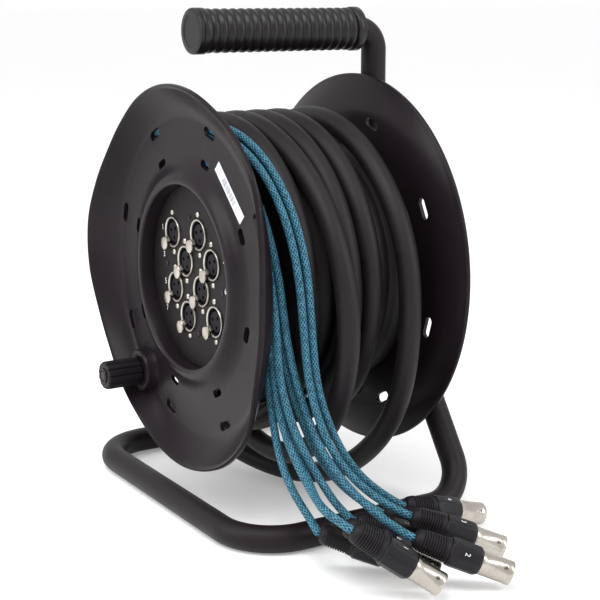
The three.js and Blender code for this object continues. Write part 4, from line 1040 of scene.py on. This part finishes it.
BOSS_PROFILE = [
    (0, WEB_Y + 0.0002), (0.0195, WEB_Y + 0.0002), (0.0190, -0.0690), (0.0181, -0.0712), (0.0176, -0.0750),
    (0.0173, -0.0766), (0.0164, -0.0776), (0.0125, -0.0776), (0.0120, -0.0773), (0, -0.0773),
]
SPINDLE_HOLE = [
    (0, -0.085), (0.0043, -0.085), (0.0043, -0.0685), (0.0063, -0.0685), (0.0063, -0.058), (0, -0.058),
]
knob_at = around_axle(-135, 0.1185, 0)
near = turned("panel_side_flange", near_profile(), 240, plastic, shape=rim_shaped)
cut(near, [turned("boss", BOSS_PROFILE, 64, plastic, Matrix.Translation(knob_at))], "UNION")
near_tools = [
    turned("hole", SPINDLE_HOLE, 32, plastic, Matrix.Translation(knob_at)),
    slot_tools(*OUTER_SLOTS, -0.095, -0.055),
    slot_tools(*INNER_SLOTS, -0.095, -0.055),
]
cut(near, near_tools)
near.data.transform(DRUM_FRAME)
place(near, "drum", "panel_flange")

FAR_BORE, FAR_HUB_RADIUS, FAR_HUB_Y = 0.0133, 0.019, 0.050


def far_profile():
    """The hub towards the drum, the flat web, the dished rim and the flat outside."""
    far_face = FAR_WEB_Y + FLANGE_WALL
    hub = [(FAR_BORE, FAR_HUB_Y), (FAR_HUB_RADIUS, FAR_HUB_Y), (FAR_HUB_RADIUS, FAR_WEB_Y)]
    hub.append((0.118, FAR_WEB_Y))
    rim = [(0.1495, 0.0841), (0.1500, 0.0848), (0.1500, 0.0862), (0.1494, 0.0871), (0.1482, 0.0875)]
    inside = dished(FAR_DISH_STEPS, DISH_REACH + 0.001, FAR_WEB_Y, 0.0078)
    outside = dished(FAR_DISH_STEPS, DISH_REACH, far_face, 0.0082, inwards=True)
    return hub + inside + rim + outside + [(FAR_BORE, far_face), (FAR_BORE, FAR_HUB_Y)]


far = turned("outer_flange", far_profile(), 216, plastic)
cut(far, [slot_tools(*OUTER_SLOTS, 0.070, 0.095)])
far.data.transform(DRUM_FRAME)
place(far, "drum", "far_flange")

# Knob
KNOB_FACE_Y = -0.0776
KNOB_LENGTH = 0.030
KNOB_SIDES, KNOB_FLUTES, FLUTE_DEPTH, KNOB_BORE = 144, 12, 0.0011, 0.0045
KNOB_STATIONS = [
    (0, 0.0104), (-0.0008, 0.0112), (-0.0040, 0.0115), (-KNOB_LENGTH + 0.003, 0.0115),
    (-KNOB_LENGTH + 0.0008, 0.0112), (-KNOB_LENGTH, 0.0104),
]
KNOB_CAP_PROFILE = [
    (0, -0.0010), (0.0036, -0.0010), (0.0040, -0.0005), (0.0046, -0.0005), (0.0050, -0.0012),
    (0.0059, -0.0012), (0.0062, -0.0008), (0.0062, -SEAT_GAP), (0, -SEAT_GAP),
]


def fluted_knob(name, matrix):
    points = []
    for y, radius in KNOB_STATIONS:
        for i in range(KNOB_SIDES):
            a = 2 * math.pi * i / KNOB_SIDES
            flute = max(0.0, math.cos(KNOB_FLUTES * a)) ** 3 * FLUTE_DEPTH
            points.append(on_circle(a, radius - flute, y))
    for y in (-KNOB_LENGTH, 0):
        points += [on_circle(2 * math.pi * i / KNOB_SIDES, KNOB_BORE, y) for i in range(KNOB_SIDES)]
    faces = ring_faces(len(KNOB_STATIONS) + 2, KNOB_SIDES, closed=True)
    return mesh_piece(name, points, faces, rubber, matrix, 30)


knob_frame = DRUM_FRAME @ Matrix.Translation(knob_at) @ moved(0, KNOB_FACE_Y - SEAT_GAP, 0)
place(fluted_knob("fluted_knob", knob_frame), "knob", "winding_knob")
knob_cap = turned("knob_end_cap", KNOB_CAP_PROFILE, 48, plastic, knob_frame @ moved(0, -KNOB_LENGTH, 0))
place(knob_cap, "knob", "knob_cap")

# Sockets and latches, each laid out round its own middle with the panel's face at y 0
SOCKET_PITCH, ROW_PITCH, ROW_SHIFT = 0.0429, 0.0216, 0.0191
LATCH_ORBIT, LATCH_ANGLE, LATCH_Y = 0.0142, -131, -0.0040
RING_GAP_DEGREES = 13
RING_STEPS = 96
RING_PROFILE = [
    (0.0106, -0.0003), (0.0121, -0.0003), (0.0121, -0.0012), (0.0118, -0.0016), (0.0111, -0.0016),
    (0.0108, -0.0013), (0.0106, -0.0009),
]
CUP_PROFILE = [
    (0, 0.0178), (0.0104, 0.0178), (0.0104, -0.0006), (0.0100, -0.0006), (0.0098, -0.0002), (0.0098, 0.013),
    (0.0083, 0.013), (0.0083, 0.0003), (0.0080, 0), (0, 0),
]
NOTCH = (-0.0026, -0.004, 0.0074), (0.0026, 0.0021, 0.0140)
CONTACT_ORBIT = 0.0046
CONTACT_HOLE = [(0, -0.002), (0.0015, -0.002), (0.0015, 0.008), (0, 0.008)]
SCREW_ORBIT, SCREW_LIFT = 0.0155, 0.00005
SCREW_HEAD = [
    (0, -0.0013), (0.0010, -0.0013), (0.0017, -0.0010), (0.0022, -0.0005), (0.0023, -0.0002), (0.0023, 0),
    (0, 0),
]
CROSS_SLOTS = [
    ((-0.0012, -0.002, -0.0002), (0.0012, -0.0009, 0.0002)),
    ((-0.0002, -0.002, -0.0012), (0.0002, -0.0009, 0.0012)),
]
TAB_RADIUS, TAB_NECK, TAB_TAIL, TAB_THICKNESS = 0.0050, 0.0022, -0.0066, 0.0015
STEM = (-0.0022, 0.0013, -0.0066), (0.0022, 0.0039, -0.0050)
STEP = (-0.0021, -0.0004, -0.0064), (0.0021, 0.0002, -0.0040)
NUMBER_X, NUMBER_RISE, NUMBER_LIFT, NUMBER_SIZE = 0.0495, 0.003, 0.00008, 0.0062


def open_ring(name, matrix):
    """A ring with a gap for the latch: its profile swept round from one side of the gap to the other."""
    points = []
    for k in range(RING_STEPS + 1):
        a = math.radians(LATCH_ANGLE + RING_GAP_DEGREES + (360 - 2 * RING_GAP_DEGREES) * k / RING_STEPS)
        points += [on_circle(a, r, y) for r, y in RING_PROFILE]
    count = len(RING_PROFILE)
    faces = ring_faces(RING_STEPS + 1, count)
    faces += [tuple(range(count))[::-1], tuple(RING_STEPS * count + i for i in range(count))]
    return mesh_piece(name, points, faces, die_cast, matrix, 50)


def socket_cup(name, here, notch_frame):
    """The insert: a cup with a notch for the latch and three holes."""
    cup = turned(name, CUP_PROFILE, 72, insert_plastic, here)
    tools = [boxed("notch", *NOTCH, insert_plastic, notch_frame)]
    for k in range(3):
        turn = here @ spun(FIRST_PIN_DEGREES + 120 * k) @ moved(0, 0, CONTACT_ORBIT)
        tools.append(turned("hole", CONTACT_HOLE, 24, insert_plastic, turn))
    return cut(cup, tools)


def socket_screw(here, side, turn_degrees):
    head = turned("screw", SCREW_HEAD, 32, die_cast, here @ moved(0, -SCREW_LIFT, side * SCREW_ORBIT))
    slot = here @ moved(0, 0, side * SCREW_ORBIT) @ spun(turn_degrees)
    return cut(head, [boxed("drive", *bar, die_cast, slot) for bar in CROSS_SLOTS])


def latch_tab(name, frame_here):
    """A round thumb plate with a neck, a stem into the socket and a low step."""
    opening = math.asin(TAB_NECK / TAB_RADIUS)
    outline = []
    for k in range(25):
        a = -math.pi / 2 + opening + (2 * math.pi - 2 * opening) * k / 24
        outline.append((TAB_RADIUS * math.cos(a), TAB_RADIUS * math.sin(a)))
    outline += [(-TAB_NECK, TAB_TAIL), (TAB_NECK, TAB_TAIL)]
    points = [Vector((x, y, z)) for y in (0.0, TAB_THICKNESS) for x, z in outline]
    plate = rounded(mesh_piece("tab", points, prism_faces(len(outline)), die_cast, frame_here), 0.00035)
    stem = boxed("stem", *STEM, die_cast, frame_here, 0.0002)
    step = boxed("step", *STEP, die_cast, frame_here, 0.0002)
    return joined(name, [plate, stem, step])


for number in range(1, 9):
    row, column = divmod(number - 1, 2)
    x = (column - 0.5) * SOCKET_PITCH + (row % 2 - 0.5) * ROW_SHIFT
    z = (1.5 - row) * ROW_PITCH
    here = DRUM_FRAME @ moved(x, PANEL_Y, z)
    notch_frame = here @ spun(LATCH_ANGLE)
    place(open_ring(f"socket_ring_{number}", here), "drum", f"socket_{number}")
    place(socket_cup(f"socket_cup_{number}", here, notch_frame), "drum")
    heads = [socket_screw(here, side, 20 + 35 * number) for side in (-1, 1)]
    place(joined(f"socket_screws_{number}", heads), "drum")
    latch = latch_tab(f"latch_tab_{number}", notch_frame @ moved(0, LATCH_Y, LATCH_ORBIT))
    place(latch, f"latch_{number}", f"latch_{number}")
    mark_x = NUMBER_X if column else -NUMBER_X
    spot = DRUM_FRAME @ moved(mark_x, PANEL_Y - NUMBER_LIFT, z + NUMBER_RISE)
    digit(f"socket_number_{number}", str(number), NUMBER_SIZE, spot, white_ink, "drum")

PANEL_SCREW_PLACES = [(-0.0026, 0.0449), (-0.0451, 0.0071), (0.0453, -0.0087), (0.0026, -0.0449)]
PANEL_SCREW_HEAD = [
    (0, -0.0007), (0.0009, -0.0007), (0.0010, -0.0011), (0.0018, -0.0009), (0.0021, -0.0003),
    (0.0021, -0.00005), (0, -0.00005),
]
panel_screws = [
    turned("screw", PANEL_SCREW_HEAD, 32, black_screw, DRUM_FRAME @ moved(x, PANEL_Y, z))
    for x, z in PANEL_SCREW_PLACES
]
place(joined("panel_screws", panel_screws), "drum")

# Label: a blank strip on the flange, with plain bars that code nothing
LABEL_PLACE = 0.0711, WEB_Y, 0.0666
LABEL_SLANT = math.atan2(0.652, -0.758)
LABEL = (-0.0046, -0.00025, -0.0255), (0.0046, -0.00005, 0.0255)
BAR_WIDTHS = (0.0004, 0.0009, 0.0005, 0.0012, 0.0004)
BAR_COUNT, BAR_START, BAR_GAP = 17, -0.0125, 0.0007
BAR_LEFT, BAR_RIGHT, BAR_TOP_Y, BAR_FOOT_Y = -0.0030, 0.0028, -0.00032, -0.00026
label_frame = DRUM_FRAME @ moved(*LABEL_PLACE) @ Matrix.Rotation(LABEL_SLANT, 4, "Y")
place(boxed("blank_label", *LABEL, label_paper, label_frame, 0.00008), "drum")
bars = []
bar_z = BAR_START
for k in range(BAR_COUNT):
    width = BAR_WIDTHS[k % len(BAR_WIDTHS)]
    low, high = (BAR_LEFT, BAR_TOP_Y, bar_z), (BAR_RIGHT, BAR_FOOT_Y, bar_z + width)
    bars.append(boxed("bar", low, high, label_ink, label_frame))
    bar_z += width + BAR_GAP
place(joined("label_bars", bars), "drum")

# CAD nodes that stay, with their finishes
KEPT = {
    "axle_bracket": paint, "axle": zinc, "axle_clip": zinc, "drum_core": plastic, "near_bush": nylon,
    "far_bush": nylon, "connector_panel": panel_paint, "cable_gland": rubber, "knob_spindle": zinc,
}
for name, material in KEPT.items():
    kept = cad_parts[name]
    kept.data.materials.clear()
    kept.data.materials.append(material)

# Floor and light
FLOOR_GLOW = 0.22
WORLD_SEEN = 1.0
WORLD_LIGHT = 0.8
FLOOR_HALF, FLOOR_STRIPS, FLOOR_Z = 30.0, 40, -0.0004
WHITE = (1.0, 1.0, 1.0, 1.0)


def seen_directly(tree):
    """1 for rays from the camera, mirror rays and rays through glass, else 0."""
    rays = add_node(tree, "LightPath").outputs
    total = rays["Is Camera Ray"]
    for kind in ("Is Glossy Ray", "Is Transmission Ray"):
        total = add_node(tree, "Math", (total, rays[kind]), operation="ADD", use_clamp=True).outputs[0]
    return total


def backdrop_paper(name):
    """Matt paper, lit and glowing a little, so that it is white with a soft shadow on it."""
    material, tree, surface = new_material(name)
    spot = add_node(tree, "TexCoord").outputs["Object"]
    patch_look = {"Vector": spot, "Scale": 1 / 0.4, "Detail": 2.0, "Roughness": 0.55}
    patches = add_node(tree, "TexNoise", patch_look).outputs["Fac"]
    tone = add_node(tree, "ValToRGB", [patches], stops=[(0.3, "#f5f5f5"), (0.7, "#f7f7f7")])
    glow = add_node(tree, "Math", (seen_directly(tree), FLOOR_GLOW), operation="MULTIPLY")
    feed(surface, {
        "Base Color": tone.outputs["Color"], "Roughness": 0.9, "Emission Color": WHITE,
        "Emission Strength": glow.outputs[0],
    })
    return material


floor_points = []
for i in range(FLOOR_STRIPS + 1):
    y = (i / FLOOR_STRIPS * 2 - 1) * FLOOR_HALF
    floor_points += [Vector((x * FLOOR_HALF, y, FLOOR_Z)) for x in (-1, 1)]
floor_faces = [(2 * i, 2 * i + 1, 2 * i + 3, 2 * i + 2) for i in range(FLOOR_STRIPS)]
floor = mesh_piece("floor", floor_points, floor_faces, backdrop_paper("pale_backdrop_paper"))


def softbox(name, azimuth, height, distance, size, power):
    """A large soft light that looks at the drum; azimuth is measured as the camera's."""
    a, h = math.radians(azimuth), math.radians(height)
    data = bpy.data.lights.new(name, "AREA")
    data.shape = "RECTANGLE"
    data.size, data.size_y = size
    data.energy = power
    lamp = bpy.data.objects.new(name, data)
    bpy.context.scene.collection.objects.link(lamp)
    out = Vector((math.sin(a) * math.cos(h), -math.cos(a) * math.cos(h), math.sin(h)))
    lamp.location = CAMERA_TARGET + out * distance
    lamp.rotation_euler = (-out).to_track_quat("-Z", "Y").to_euler()


softbox("top_light", 40, 62, 1.7, (0.9, 0.9), 16)
softbox("left_light", -15, 30, 1.9, (0.7, 1.4), 16)
softbox("right_light", 125, 30, 2.1, (0.5, 1.6), 16)

world = bpy.data.worlds.new("studio")
world.use_nodes = True
seen = seen_directly(world.node_tree)
level = add_node(world.node_tree, "MapRange", {"Value": seen, "To Min": WORLD_LIGHT, "To Max": WORLD_SEEN})
feed(world.node_tree.nodes["Background"], {"Color": WHITE, "Strength": level.outputs["Result"]})
bpy.context.scene.world = world
bpy.context.scene.view_settings.view_transform = "Standard"
bpy.context.scene.view_settings.look = "None"

bpy.context.view_layer.update()
